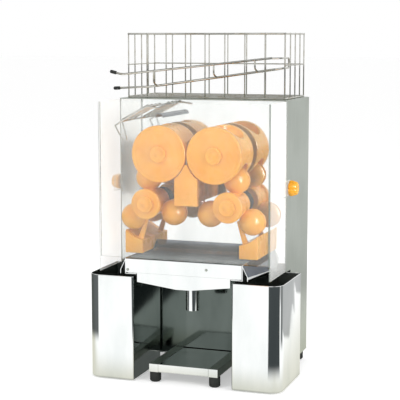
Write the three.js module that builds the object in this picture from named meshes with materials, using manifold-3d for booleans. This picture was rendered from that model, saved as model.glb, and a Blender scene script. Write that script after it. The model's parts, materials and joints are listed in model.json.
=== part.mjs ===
// Automatic citrus juicer: a counter-top press with a wire hopper, a sloping feed lane, two cupped drums
// that meet two three-ball presses, a strainer over a spouted collector, and a waste bin on each side.
// Millimetres, +Z up, +X to the operator's right, +Y to the back. The origin is on the counter under the
// middle.
import * as THREE from "three";
import { mergeVertices } from "three/addons/utils/BufferGeometryUtils.js";
import Module from "manifold-3d";

// Fits and stock
const gap = 0.3; // between a piece and what it runs in, or is cut round
const overrun = 4; // how far a cutting solid passes the face that it cuts
const sheet = 1.5; // folded sheet metal
const plate = 3; // flat plates
const pane = 3; // clear plastic

// Body: an upper box over the serving bay and a column behind it
const pressClear = 15.5; // balls' sweep to the cover's side pane
const bodyFront = -31; // front face of the press plate
const bodyDepth = 198;
const bodyUnder = 250; // underside of the upper box
const bodyRise = 395; // from there to the top
const columnFront = 10;

// Base
const footRadius = 13;
const footHeight = 24;
const footEase = 2.5; // chamfer round the foot
const footInset = 16; // foot centre to the body's side and back
const railHalfInner = 61;
const railWidth = 22;
const railHeight = 19;
const railFront = -161;
const trayWall = 1.2;
const trayWallHeight = 14;
const standPlate = 1.8;

// Presses
const drumRise = 275; // drum axes above the upper box's underside
const drumRadius = 64.8;
const nipHalf = 1.2; // half the gap between the drums
const drumLength = 96;
const drumBackGap = 15; // drum to the press plate
const cupRadius = 36;
const cupOrbit = 62;
const ballRadius = 30.5;
const ballOrbit = 58;
const ballSlot = 8; // slot round each ball for the stripper
const ballSlotFloor = 34; // radius where that slot ends
const lowerSpread = 32; // how much wider apart the ball presses are than the drums
const hubRadius = 31;
const hubFlange = 35; // front disc of a ball press
const hubFlangeThick = 12;
const cupsPerDrum = 3;
const restTurn = THREE.MathUtils.degToRad(-23.5); // how far the cups stand before the squeezing line

// Shafts and what is on them
const shaftRadius = 12;
const stubRadius = 8; // threaded front end
const stubLength = 5;
const collarRadius = 16;
const collarGap = 0.6; // end play
const nutRadius = 19.5;
const nutHeight = 8;
const nutEase = 2;
const bearingRadius = 19;
const bearingFlange = 28;
const bearingFlangeThick = 4;
const bearingSleeve = 18; // length behind the plate

// Gears behind the plate: one plane links the drums, the other links each drum to its ball press
const gearTeeth = 16;
const pinionTeeth = 8;
const gearWidth = 10;
const gearPitch = 14; // from one plane to the next
const gearFront = -6;
const gearHub = 20;
const pinionAngle = THREE.MathUtils.degToRad(-35);
const pinionShaft = 8;
const addendumShare = 0.72; // tooth height above the pitch circle, in modules
const dedendumShare = 1.0;
const tipShare = 0.12; // half a tooth's tip, in tooth pitches
const rootShare = 0.29;

// Bearing plate and motor
const bearingPlateY = 26;
const bearingPlateThick = 4;
const bearingPlateInset = 33; // to the body's sides and top
const bearingPlateRise = 70; // above the upper box's underside
const bossRadius = 20;
const bossRise = 5; // on each side of the plate
const postRadius = 7;
const postInset = 14;
const gearboxRadius = 40;
const gearboxLength = 46;
const motorRadius = 34;
const motorLength = 62;
const motorNeck = 6; // depth of the groove between gearbox and motor
const pinionSeat = 18; // how deep the pinion's shaft sits in the gearbox

// Wedge, knife and strippers between and under the presses
const wedgeHalf = 27;
const wedgeTipHalf = 2.5;
const wedgeGap = 2.6; // wedge to drum
const wedgeCap = 11; // thickness of the front cap
const webTopHalf = 12;
const webFootHalf = 5.5;
const bladeThick = 1;
const bladeRise = 3; // above the drum axes
const bladeDepth = 40; // how far it sits in the wedge
const bladeFrontGap = 8; // inside the drum's front face
const bladeBackGap = 6;
const stripperThick = 6;
const stripperIn = 36.6; // radius of the finger's tip
const stripperHalf = 7; // half the finger's width
const stripperGap = 2.5; // block to the balls' sweep
const blockClear = 4; // outside the splash plate
const blockWidth = 43;
const blockRise = 5; // above the strainer's lip
const blockFrontY = -112;

// Cover
const coverClear = 10; // pane to the nuts
const coverTopGap = 2; // below the body's top
const coverFrontRise = 3; // front pane above the strainer's lip
const coverSideRise = 3; // side panes above the upper box's underside
const coverCorner = 6;
const knobY = -20;
const knobDrop = 200; // below the body's top
const knobRadius = 18;
const knobLength = 19;
const knobNose = 10; // radius of the flat end
const knobGrips = 6;
const knobGripRadius = 5;
const studRadius = 4;
const studLength = 15;
const earThick = 4;
const earHalfHeight = 18;
const earFront = -62;
const earBack = -8;

// Waste bins
const binInner = 118;
const binOuter = 232;
const binProud = 7; // in front of the cover
const binBack = 5.5;
const binBottom = 2.5;
const binTopGap = 5; // below the upper box's underside
const binFrontCorner = 30;
const binCorner = 5;
const hangerThick = 3;
const hangerHeight = 16;
const hangerDrop = 40; // below the bin's rim
const hangerMargin = 12; // bar end to the bin's side
const pegRadius = 4;
const pegReach = 12;

// Trays
const trayFrontGap = 1.5; // behind the cover's front face
const shelfGap = 1; // collector's pan to the inner edge of each shelf
const chuteWebGap = 5.5; // collector's rim to each chute's web
const chuteFrontReach = 13.5; // from its web out to its lip, at the front
const chuteBackReach = 44.5; // and at the press plate
const chuteRise = 1; // above the strainer's lip
const chuteHem = 9; // folded lip along the low edge
const chuteTabHeight = 34;
const chuteTabWidth = 44;
const lipHeight = 31.4;
const strainerBack = -62;
const strainerSlots = 17;
const strainerSlotWidth = 3;
const strainerSlotMargin = 14;
const collectorHalf = 112;
const collectorRimHalf = 134;
const collectorShallow = 19.8; // depth at the sides, below the rim
const collectorFall = 12; // from there to the spout
const collectorBack = -42;
const spoutRadius = 16;
const spoutLength = 59;
const splashRise = 2; // its low edge above the strainer's lip
const splashHeight = 12;
const splashLean = 29; // how far it leans out from the press plate
const splashTab = 12;

// Hopper
const hopperInset = 10; // inside the body's sides
const hopperFront = -10;
const hopperBackGap = 2; // inside the body's back
const hopperHeight = 152;
const hopperMidHeight = 78;
const frameWire = 2; // radius
const thinWire = 1.5;
const hopperFrontBays = 8;
const hopperSideBays = 4;
const hopperFloorWires = 5;

// Feed lane in front of the hopper; its rises are above the body's top
const laneWire = 2.5;
const guardY = -88;
const frontRailY = -68;
const backRailY = -30;
const guardLeftX = -175;
const guardLeftRise = 57;
const guardRightX = 184;
const guardRightRise = 96;
const railLeftX = -112;
const railLeftRise = 29;
const railRightX = 186;
const railRightRise = 71;
const tipX = -205;
const tipLength = 16;
const tipRadius = 4;
const guardTipRise = 64;
const railTipRise = 24;
const laneBend = 8;
const claspX = 207;
const claspHalf = 11;

// Feed slide inside the cover, over the left drum; its drops are below the body's top
const slideTopX = -92;
const slideTopDrop = 13;
const slideLowX = -155;
const slideLowDrop = 47;
const slideFrontY = -138;
const slideBackY = -60;
const slideWires = 4;
const slideTongueX = -172;
const slideTongueDrop = 58;
const slideLoopDrop = 89;
const hoodLeftX = -82;
const hoodRightX = -62;
const hoodDrop = 39;
const hoodFrontY = -118;

// Back panel and what is on it
const louvreRows = 8;
const louvreHalf = 34;
const louvreHeight = 5;
const louvrePitch = 14;
const louvreX = 95;
const louvreDrop = 65; // below the body's top
const screwRadius = 4;
const screwRise = 1.4;
const screwInset = 9;
const screwRows = 5;
const moduleX = -125;
const moduleRise = 58; // above the feet
const moduleHalfWidth = 17;
const moduleHalfHeight = 34;
const moduleFlange = 4;
const moduleFlangeThick = 2;
const moduleDepth = 24;
const inletHalfWidth = 12;
const inletHalfHeight = 8;
const inletDepth = 16;
const inletDrop = 17; // inlet's centre below the module's
const rockerRise = 14; // rocker's centre above the module's
const rockerHalfWidth = 9;
const rockerHalfHeight = 11;
const rockerProud = 6.5; // rocker's ends in front of its pivot
const rockerDip = 2; // how much its middle is lower
const rockerBack = 3;
const rockerPivot = 7; // pivot behind the flange's face
const rockerTilt = THREE.MathUtils.degToRad(-8); // its upper end stands out
const controlHalf = 58;
const controlX = 95;
const controlFront = 55;
const controlDepth = 62;
const controlHeight = 70;
const switchWidth = 22;
const switchHeight = 34;
const switchDepth = 12;
const switchInset = 23; // its middle to the body's side
const switchDrop = 85; // its middle to the body's top

// Facets
const roundSides = 16;
const drumSides = 36;
const ballSides = 16;
const screwSides = 8;
const wireSides = 6;
const thinSides = 4;
const cornerSteps = 4;

// Worked out from the sizes above
const rear = bodyFront + bodyDepth;
const bodyTop = bodyUnder + bodyRise;
const upperZ = bodyUnder + drumRise;
const upperX = drumRadius + nipHalf;
const lowerX = upperX + lowerSpread;
const axisDistance = cupOrbit + ballOrbit;
const lowerZ = upperZ - Math.sqrt(axisDistance ** 2 - lowerSpread ** 2);
const drumBack = bodyFront - drumBackGap;
const drumFront = drumBack - drumLength;
const pressMiddle = (drumFront + drumBack) / 2;
const nutFront = drumFront - nutHeight;
const coverFront = nutFront - coverClear - pane;
const binFront = coverFront - binProud;
const trayFront = coverFront + trayFrontGap;
const platesRear = bearingPlateY + bearingPlateThick;
const gearRear = gearFront + gearPitch + gearWidth;
const bearingFront = bodyFront - bearingFlangeThick;
const ballSweep = ballOrbit + ballRadius;
const cupTurn = (2 * Math.PI) / cupsPerDrum;
const bodyHalf = lowerX + ballSweep + pressClear + pane;
const bearingPlateHalf = bodyHalf - bearingPlateInset;
const bearingPlateTop = bodyTop - bearingPlateInset;
const bearingPlateBottom = bodyUnder + bearingPlateRise;
const shelfTop = bodyUnder + sheet;
const rimBottom = shelfTop + gap;
const rimTop = rimBottom + sheet;
const strainerBottom = rimTop + gap;
const lipTop = strainerBottom + lipHeight;
const collectorShoulder = rimBottom - collectorShallow;
const collectorFloor = collectorShoulder - collectorFall;
const spoutBottom = collectorFloor - spoutLength;
const splashBottom = lipTop + splashRise;
const splashTop = splashBottom + splashHeight;
const shelfInner = collectorHalf + shelfGap;
const chuteWeb = collectorRimHalf + chuteWebGap;
const blockInner = shelfInner + blockClear;
const blockOuter = blockInner + blockWidth;
const blockBottom = lipTop + blockRise;
const chuteTop = lipTop + chuteRise;
const binTop = bodyUnder - binTopGap;
const hangerZ = binTop - hangerDrop;
const coverTop = bodyTop - coverTopGap;
const knobZ = bodyTop - knobDrop;
const coverFrontBottom = lipTop + coverFrontRise;
const coverSideBottom = bodyUnder + coverSideRise;
const hopperHalf = bodyHalf - hopperInset;
const hopperBack = rear - hopperBackGap;
const hopperTop = bodyTop + hopperHeight;
const hopperMid = bodyTop + hopperMidHeight;
const switchX = bodyHalf - switchInset;
const switchZ = bodyTop - switchDrop;
const guardLeftZ = bodyTop + guardLeftRise;
const guardRightZ = bodyTop + guardRightRise;
const railLeftZ = bodyTop + railLeftRise;
const railRightZ = bodyTop + railRightRise;
const guardTipZ = bodyTop + guardTipRise;
const railTipZ = bodyTop + railTipRise;
const slideTopZ = bodyTop - slideTopDrop;
const slideLowZ = bodyTop - slideLowDrop;
const slideTongueZ = bodyTop - slideTongueDrop;
const slideLoopZ = bodyTop - slideLoopDrop;
const hoodZ = bodyTop - hoodDrop;
const louvreTop = bodyTop - louvreDrop;
const moduleZ = footHeight + moduleRise;

const wasm = await Module();
wasm.setup();

// A closed geometry as a solid that can be joined and cut.
function solid(geometry) {
  const bare = geometry.clone();
  bare.deleteAttribute("normal");
  bare.deleteAttribute("uv");
  const merged = mergeVertices(bare);
  return new wasm.Manifold(
    new wasm.Mesh({
      numProp: 3,
      vertProperties: merged.attributes.position.array,
      triVerts: new Uint32Array(merged.index.array),
    }),
  );
}

function geometryOf(body) {
  const data = body.getMesh();
  const geometry = new THREE.BufferGeometry();
  geometry.setAttribute("position", new THREE.BufferAttribute(data.vertProperties, data.numProp));
  geometry.setIndex(new THREE.BufferAttribute(data.triVerts, 1));
  geometry.computeVertexNormals();
  return geometry;
}

const joined = (pieces) => pieces.reduce((all, piece) => all.add(piece));
const cutBy = (body, cutters) => cutters.reduce((left, cutter) => left.subtract(cutter), body);

// The solids below are named for the axis that they are drawn along.
function block([x0, x1], [y0, y1], [z0, z1]) {
  const box = new THREE.BoxGeometry(x1 - x0, y1 - y0, z1 - z0);
  return solid(box.translate((x0 + x1) / 2, (y0 + y1) / 2, (z0 + z1) / 2));
}

function rodY([x, z], [y0, y1], radius, sides = roundSides) {
  const rod = new THREE.CylinderGeometry(radius, radius, y1 - y0, sides);
  return solid(rod.translate(x, (y0 + y1) / 2, z));
}

function rodZ([x, y], [z0, z1], radius, sides = roundSides) {
  const rod = new THREE.CylinderGeometry(radius, radius, z1 - z0, sides);
  return solid(rod.rotateX(Math.PI / 2).translate(x, y, (z0 + z1) / 2));
}

function rodX([y, z], [x0, x1], radius, sides = roundSides) {
  const rod = new THREE.CylinderGeometry(radius, radius, Math.abs(x1 - x0), sides);
  return solid(rod.rotateZ(Math.PI / 2).translate((x0 + x1) / 2, y, z));
}

function wire(from, to, radius, sides = wireSides) {
  const start = new THREE.Vector3(...from);
  const along = new THREE.Vector3(...to).sub(start);
  const rod = new THREE.CylinderGeometry(radius, radius, along.length(), sides);
  rod.translate(0, along.length() / 2, 0);
  const turn = new THREE.Quaternion().setFromUnitVectors(new THREE.Vector3(0, 1, 0), along.normalize());
  return solid(rod.applyQuaternion(turn).translate(...from));
}

// A path given by its samples, so that an extrusion has one ring at each of them and none between.
class SampledPath extends THREE.Curve {
  constructor(samples) {
    super();
    this.samples = samples;
  }

  getPoint(share) {
    const place = share * (this.samples.length - 1);
    const first = Math.min(Math.floor(place), this.samples.length - 2);
    return this.samples[first].clone().lerp(this.samples[first + 1], place - first);
  }

  getPointAt(share) {
    return this.getPoint(share);
  }

  getTangentAt(share) {
    const last = this.samples.length - 1;
    const index = Math.round(share * last);
    const ahead = this.samples[Math.min(index + 1, last)].clone().sub(this.samples[index]).normalize();
    const behind = this.samples[index].clone().sub(this.samples[Math.max(index - 1, 0)]).normalize();
    return ahead.add(behind).normalize();
  }
}

// A wire through the places, each corner rounded over the bend length.
function bentWire(places, radius, bend) {
  const points = places.map((place) => new THREE.Vector3(...place));
  const towards = (from, to) => from.clone().add(to.clone().sub(from).setLength(bend));
  const bends = points.slice(1, -1).flatMap((corner, i) => {
    const start = towards(corner, points[i]);
    const end = towards(corner, points[i + 2]);
    return new THREE.QuadraticBezierCurve3(start, corner, end).getPoints(cornerSteps - 1);
  });
  const path = new SampledPath([points[0], ...bends, points[points.length - 1]]);
  const angles = span(wireSides + 1, 0, 2 * Math.PI).slice(1);
  const section = outlineOf(angles.map((angle) => polar(radius, angle)));
  return solid(new THREE.ExtrudeGeometry(section, { steps: path.samples.length - 1, extrudePath: path }));
}

function outlineOf(points) {
  return new THREE.Shape(points.map(([u, v]) => new THREE.Vector2(u, v)));
}

const shapeOf = (outline) => (outline instanceof THREE.Shape ? outline : outlineOf(outline));

function prism(outline, depth) {
  const settings = { depth, bevelEnabled: false, curveSegments: cornerSteps };
  return new THREE.ExtrudeGeometry(shapeOf(outline), settings);
}

const prismZ = (outline, [z0, z1]) => solid(prism(outline, z1 - z0).translate(0, 0, z0));
const prismY = (outline, [y0, y1]) => solid(prism(outline, y1 - y0).rotateX(Math.PI / 2).translate(0, y1, 0));

// Outline points are (y, z) here.
function prismX(outline, [x0, x1]) {
  const turn = new THREE.Matrix4().set(0, 0, 1, x0, 1, 0, 0, 0, 0, 1, 0, 0, 0, 0, 0, 1);
  return solid(prism(outline, x1 - x0).applyMatrix4(turn));
}

// A rectangle whose corners have the radii given, from the low corner round against the clock.
function roundedRectangle([u0, u1], [v0, v1], [r0, r1, r2, r3]) {
  const shape = new THREE.Shape();
  shape.moveTo(u0 + r0, v0);
  shape.lineTo(u1 - r1, v0);
  shape.absarc(u1 - r1, v0 + r1, r1, -Math.PI / 2, 0);
  shape.lineTo(u1, v1 - r2);
  shape.absarc(u1 - r2, v1 - r2, r2, 0, Math.PI / 2);
  shape.lineTo(u0 + r3, v1);
  shape.absarc(u0 + r3, v1 - r3, r3, Math.PI / 2, Math.PI);
  shape.lineTo(u0, v0 + r0);
  shape.absarc(u0 + r0, v0 + r0, r0, Math.PI, 1.5 * Math.PI);
  return shape;
}

// A solid of revolution about Y, from points of radius and height.
function turned(profile, sides = roundSides) {
  const points = profile.map(([radius, y]) => new THREE.Vector2(radius, y));
  return solid(new THREE.LatheGeometry(points, sides));
}

const ordered = (a, b) => [Math.min(a, b), Math.max(a, b)];
const sideName = (side) => (side < 0 ? "left" : "right");
const span = (count, from, to) =>
  Array.from({ length: count }, (_, i) => from + ((to - from) * i) / (count - 1));
const polar = (radius, angle) => [radius * Math.cos(angle), radius * Math.sin(angle)];

const finishes = {
  polished_steel: { color: 0xe4e7e6, roughness: 0.12, metalness: 1 },
  brushed_steel: { color: 0xb9bcb8, roughness: 0.38, metalness: 1 },
  dark_steel: { color: 0x6f767c, roughness: 0.3, metalness: 1 },
  chrome: { color: 0xe8e6e0, roughness: 0.1, metalness: 1 },
  gear_steel: { color: 0x8a8d90, roughness: 0.45, metalness: 1 },
  amber_plastic: { color: 0xf9a63c, roughness: 0.35, metalness: 0 },
  clear_plastic: { color: 0xf4f8f6, roughness: 0.05, metalness: 0, transparent: true, opacity: 0.25 },
  black_rubber: { color: 0x2c2f2d, roughness: 0.8, metalness: 0 },
  black_plastic: { color: 0x232526, roughness: 0.5, metalness: 0 },
  motor_paint: { color: 0x3d444b, roughness: 0.6, metalness: 0.2 },
};

const juicer = new THREE.Group();

function place(name, body, finish, group = juicer) {
  const mesh = new THREE.Mesh(geometryOf(body), new THREE.MeshStandardMaterial(finishes[finish]));
  mesh.name = name;
  group.add(mesh);
  return mesh;
}

function makeFoot() {
  return turned([
    [0, 0],
    [footRadius - footEase, 0],
    [footRadius, footEase],
    [footRadius, footHeight],
    [0, footHeight],
  ]);
}

// Floor plate under the column, two hollow rails forward to the front feet, and the sheet between them.
function makeBaseFrame() {
  const floorPlate = block(
    [-bodyHalf + sheet + gap, bodyHalf - sheet - gap],
    [columnFront + sheet + gap, rear - sheet - gap],
    [footHeight, footHeight + plate],
  );
  const underTray = block(
    [-railHalfInner - sheet, railHalfInner + sheet],
    [railFront + sheet, columnFront + plate],
    [footHeight, footHeight + sheet],
  );
  const rails = [-1, 1].map((side) => {
    const outer = block(
      ordered(side * railHalfInner, side * (railHalfInner + railWidth)),
      [railFront, columnFront - gap],
      [footHeight, footHeight + railHeight],
    );
    const hollow = block(
      ordered(side * (railHalfInner + sheet), side * (railHalfInner + railWidth - sheet)),
      [railFront + sheet, columnFront + overrun],
      [footHeight + sheet, footHeight + railHeight - sheet],
    );
    return outer.subtract(hollow);
  });
  return joined([floorPlate, underTray, ...rails]);
}

// The folded shell: both sides and the top, and a stud on each side for the cover's knob.
function makeBodyShell() {
  const sideOutline = [
    [bodyFront, bodyUnder],
    [columnFront, bodyUnder],
    [columnFront, footHeight],
    [rear, footHeight],
    [rear, bodyTop],
    [bodyFront, bodyTop],
  ];
  const hollow = block(
    [-bodyHalf + sheet, bodyHalf - sheet],
    [bodyFront - overrun, rear + overrun],
    [footHeight - overrun, bodyTop - sheet],
  );
  const studs = [-1, 1].map((side) =>
    rodX([knobY, knobZ], ordered(side * (bodyHalf - sheet / 2), side * (bodyHalf + studLength)), studRadius),
  );
  return joined([prismX(sideOutline, [-bodyHalf, bodyHalf]).subtract(hollow), ...studs]);
}

function pressAxes() {
  return [-1, 1].flatMap((side) => [
    [side * upperX, upperZ],
    [side * lowerX, lowerZ],
  ]);
}

function makeFrontPlate() {
  const sheetFace = block(
    [-bodyHalf + sheet + gap, bodyHalf - sheet - gap],
    [bodyFront, bodyFront + plate],
    [bodyUnder, bodyTop - sheet - gap],
  );
  const holes = pressAxes().map((axis) =>
    rodY(axis, [bodyFront - overrun, bodyFront + plate + overrun], bearingRadius + gap),
  );
  return cutBy(sheetFace, holes);
}

// The bay's back wall, folded forward at its top to close the underside of the upper box, and notched at its
// foot for the rails.
function makeBayPanel() {
  const foot = footHeight + plate + gap;
  const folded = [
    [columnFront, foot],
    [columnFront + sheet, foot],
    [columnFront + sheet, bodyUnder + sheet],
    [bodyFront + plate + gap, bodyUnder + sheet],
    [bodyFront + plate + gap, bodyUnder],
    [columnFront, bodyUnder],
  ];
  const railsOuter = railHalfInner + railWidth + gap;
  const notch = block(
    [-railsOuter, railsOuter],
    [columnFront - overrun, columnFront + sheet + overrun],
    [foot - overrun, footHeight + railHeight + gap],
  );
  return prismX(folded, [-bodyHalf + sheet + gap, bodyHalf - sheet - gap]).subtract(notch);
}

// Louvres, the opening for the power module, and round-headed screws along both edges.
function makeBackPanel() {
  const half = bodyHalf - sheet - gap;
  const bottom = footHeight + gap;
  const top = bodyTop - sheet - gap;
  const panel = block([-half, half], [rear - sheet, rear], [bottom, top]);
  const through = [rear - sheet - overrun, rear + overrun];
  const louvres = [-1, 1].flatMap((side) =>
    Array.from({ length: louvreRows }, (_, row) =>
      block(
        [side * louvreX - louvreHalf, side * louvreX + louvreHalf],
        through,
        [louvreTop - row * louvrePitch - louvreHeight, louvreTop - row * louvrePitch],
      ),
    ),
  );
  const moduleHole = block(
    [moduleX - moduleHalfWidth - gap, moduleX + moduleHalfWidth + gap],
    through,
    [moduleZ - moduleHalfHeight - gap, moduleZ + moduleHalfHeight + gap],
  );
  const screws = [-1, 1].flatMap((side) =>
    span(screwRows, bottom + screwInset, top - screwInset).map((z) =>
      turned([
        [0, -sheet / 2],
        [screwRadius, -sheet / 2],
        [screwRadius, screwRise / 2],
        [screwRadius / 2, screwRise],
        [0, screwRise],
      ], screwSides).translate([side * (half - screwInset), rear, z]),
    ),
  );
  return joined([cutBy(panel, [...louvres, moduleHole]), ...screws]);
}

// Rear plate of the gear train, with a boss for each shaft and a post to the press plate at each corner.
function makeBearingPlate() {
  const slab = block(
    [-bearingPlateHalf, bearingPlateHalf],
    [bearingPlateY, platesRear],
    [bearingPlateBottom, bearingPlateTop],
  );
  const bosses = pressAxes().map((axis) =>
    rodY(axis, [bearingPlateY - bossRise, platesRear + bossRise], bossRadius),
  );
  const posts = [-1, 1].flatMap((side) =>
    [bearingPlateBottom + postInset, bearingPlateTop - postInset].map((z) =>
      rodY(
        [side * (bearingPlateHalf - postInset), z],
        [bodyFront + plate, bearingPlateY + bearingPlateThick / 2],
        postRadius,
        roundSides / 2,
      ),
    ),
  );
  const bores = pressAxes().map((axis) =>
    rodY(axis, [bearingPlateY - bossRise - overrun, platesRear + bossRise + overrun], shaftRadius + gap),
  );
  const pinionHole = rodY(pinionAxis, [bearingPlateY - overrun, platesRear + overrun], pinionShaft + gap);
  return cutBy(joined([slab, ...bosses, ...posts]), [...bores, pinionHole]);
}

function makeBearing() {
  const inner = shaftRadius + gap;
  return turned([
    [inner, bearingFront],
    [bearingFlange, bearingFront],
    [bearingFlange, bodyFront],
    [bearingRadius, bodyFront],
    [bearingRadius, bodyFront + bearingSleeve],
    [inner, bodyFront + bearingSleeve],
    [inner, bearingFront],
  ]);
}

function makeShaft() {
  const collarBack = bearingFront - collarGap;
  return turned([
    [0, drumFront - stubLength],
    [stubRadius, drumFront - stubLength],
    [stubRadius, drumFront],
    [shaftRadius, drumFront],
    [shaftRadius, drumBack + gap],
    [collarRadius, drumBack + gap],
    [collarRadius, collarBack],
    [shaftRadius, collarBack],
    [shaftRadius, platesRear + bossRise],
    [0, platesRear + bossRise],
  ]);
}

function makeNut() {
  return turned([
    [0, nutFront],
    [nutRadius - nutEase, nutFront],
    [nutRadius, nutFront + nutEase],
    [nutRadius, drumFront],
    [stubRadius + gap, drumFront],
    [stubRadius + gap, drumFront - stubLength - gap],
    [0, drumFront - stubLength - gap],
  ]);
}

const boreOf = (from, to) => rodY([0, 0], [from - overrun, to + overrun], shaftRadius + gap);

// Balls spaced evenly round a shaft's axis, the first at the angle given.
function ballsRound(orbit, radius, firstAngle) {
  return Array.from({ length: cupsPerDrum }, (_, i) => {
    const [x, z] = polar(orbit, firstAngle + i * cupTurn);
    return solid(new THREE.SphereGeometry(radius, ballSides, ballSides / 2).translate(x, pressMiddle, z));
  });
}

// A drum with a round cup at each of its stations, the first at the angle given.
function makeDrum(firstCup) {
  const body = rodY([0, 0], [drumFront, drumBack], drumRadius, drumSides);
  const cups = ballsRound(cupOrbit, cupRadius, firstCup);
  return cutBy(body, [...cups, boreOf(drumFront, drumBack)]);
}

// A hub that carries three slotted balls, the first at the angle given.
function makeBallPress(firstBall) {
  const flange = rodY([0, 0], [drumFront, drumFront + hubFlangeThick], hubFlange, drumSides);
  const hub = rodY([0, 0], [drumFront + hubFlangeThick / 2, pressMiddle + ballRadius], hubRadius);
  const neck = rodY([0, 0], [pressMiddle, drumBack], collarRadius + gap);
  const balls = ballsRound(ballOrbit, ballRadius, firstBall);
  const slotReach = ballSweep + overrun;
  const slot = turned([
    [ballSlotFloor, pressMiddle - ballSlot / 2],
    [slotReach, pressMiddle - ballSlot / 2],
    [slotReach, pressMiddle + ballSlot / 2],
    [ballSlotFloor, pressMiddle + ballSlot / 2],
    [ballSlotFloor, pressMiddle - ballSlot / 2],
  ], drumSides);
  return cutBy(joined([flange, hub, neck, ...balls]), [slot, boreOf(drumFront, drumBack)]);
}

// Straight-flanked teeth, one of them centred on the angle given.
function makeGear(teeth, pitchRadius, toothAngle, [y0, y1]) {
  const toothModule = (2 * pitchRadius) / teeth;
  const tip = pitchRadius + addendumShare * toothModule;
  const root = pitchRadius - dedendumShare * toothModule;
  const step = (2 * Math.PI) / teeth;
  const outline = Array.from({ length: teeth }, (_, i) => toothAngle + i * step).flatMap((middle) => [
    polar(root, middle - rootShare * step),
    polar(tip, middle - tipShare * step),
    polar(tip, middle + tipShare * step),
    polar(root, middle + rootShare * step),
  ]);
  return prismY(outline, [y0, y1]);
}

const frontGearPlane = [gearFront, gearFront + gearWidth];
const backGearPlane = [gearFront + gearPitch, gearRear];
const toothStep = (2 * Math.PI) / gearTeeth;

// Angle of the line from a drum's axis down to its ball press.
const squeezeLine = (side) => Math.atan2(lowerZ - upperZ, side * lowerSpread);

// Each left-hand gear has a tooth on the line of centres and its mate has a gap there.
function makeDrumGears(side) {
  const facing = side < 0 ? 0 : Math.PI + toothStep / 2;
  const front = makeGear(gearTeeth, upperX, facing, frontGearPlane);
  const back = makeGear(gearTeeth, axisDistance / 2, squeezeLine(side), backGearPlane);
  const hub = rodY([0, 0], [gearFront, gearRear], gearHub);
  return joined([front, back, hub]).subtract(boreOf(gearFront, gearRear));
}

function makePressGear(side) {
  const facing = squeezeLine(side) + Math.PI + toothStep / 2;
  const back = makeGear(gearTeeth, axisDistance / 2, facing, backGearPlane);
  const hub = rodY([0, 0], [gearFront, gearRear], gearHub);
  return back.add(hub).subtract(boreOf(gearFront, gearRear));
}

const pinionRadius = (upperX * pinionTeeth) / gearTeeth;
const [pinionDx, pinionDz] = polar(upperX + pinionRadius, pinionAngle);
const pinionAxis = [upperX + pinionDx, upperZ + pinionDz];

// The tooth that faces the drum's gear sits in whichever gap of that gear is nearest the line of centres.
function makePinion() {
  const drumTooth = Math.PI + toothStep / 2;
  const offset = (pinionAngle - drumTooth) / toothStep;
  const intoGap = (offset - Math.floor(offset) - 1 / 2) * toothStep;
  const teeth = makeGear(
    pinionTeeth,
    pinionRadius,
    pinionAngle + Math.PI + (intoGap * gearTeeth) / pinionTeeth,
    frontGearPlane,
  );
  return teeth.add(rodY([0, 0], [gearFront, platesRear + pinionSeat], pinionShaft));
}

function makeGearMotor() {
  const gearboxBack = platesRear + gearboxLength;
  const body = turned([
    [0, platesRear],
    [gearboxRadius, platesRear],
    [gearboxRadius, gearboxBack],
    [motorRadius - motorNeck, gearboxBack],
    [motorRadius - motorNeck, gearboxBack + motorNeck],
    [motorRadius, gearboxBack + motorNeck],
    [motorRadius, gearboxBack + motorLength],
    [0, gearboxBack + motorLength],
  ]);
  const seat = rodY([0, 0], [platesRear - overrun, platesRear + pinionSeat + gap], pinionShaft + gap);
  return body.subtract(seat);
}

// Points of the arc round a drum's axis at the wedge's clearance, from the tip out to the shoulder.
function wedgeFlank(side, tipHalf, shoulderHalf, steps) {
  const radius = drumRadius + wedgeGap;
  const below = (x) => upperZ - Math.sqrt(radius ** 2 - (upperX - x) ** 2);
  return span(steps, tipHalf, shoulderHalf).map((x) => [side * x, below(x)]);
}

const wedgeTipZ = wedgeFlank(1, wedgeTipHalf, wedgeHalf, 2)[0][1];

// The broad cap that shows in front, and the slim web that carries it on the press plate.
function makeWedge() {
  const right = wedgeFlank(1, wedgeTipHalf, wedgeHalf, cornerSteps);
  const left = wedgeFlank(-1, wedgeTipHalf, wedgeHalf, cornerSteps);
  const cap = prismY(
    [[-wedgeHalf, lowerZ], [wedgeHalf, lowerZ], ...right.reverse(), ...left],
    [drumFront, drumFront + wedgeCap],
  );
  const webRight = wedgeFlank(1, wedgeTipHalf, webTopHalf, cornerSteps);
  const webLeft = wedgeFlank(-1, wedgeTipHalf, webTopHalf, cornerSteps);
  const web = prismY(
    [[-webFootHalf, lowerZ], [webFootHalf, lowerZ], ...webRight.reverse(), ...webLeft],
    [drumFront + wedgeCap / 2, bodyFront],
  );
  const slot = block(
    [-bladeThick / 2 - gap, bladeThick / 2 + gap],
    [drumFront + bladeFrontGap - gap, drumBack - bladeBackGap + gap],
    [wedgeTipZ - bladeDepth - gap, wedgeTipZ + overrun],
  );
  return cap.add(web).subtract(slot);
}

function makeKnife() {
  return block(
    [-bladeThick / 2, bladeThick / 2],
    [drumFront + bladeFrontGap, drumBack - bladeBackGap],
    [wedgeTipZ - bladeDepth, upperZ + bladeRise],
  );
}

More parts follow.
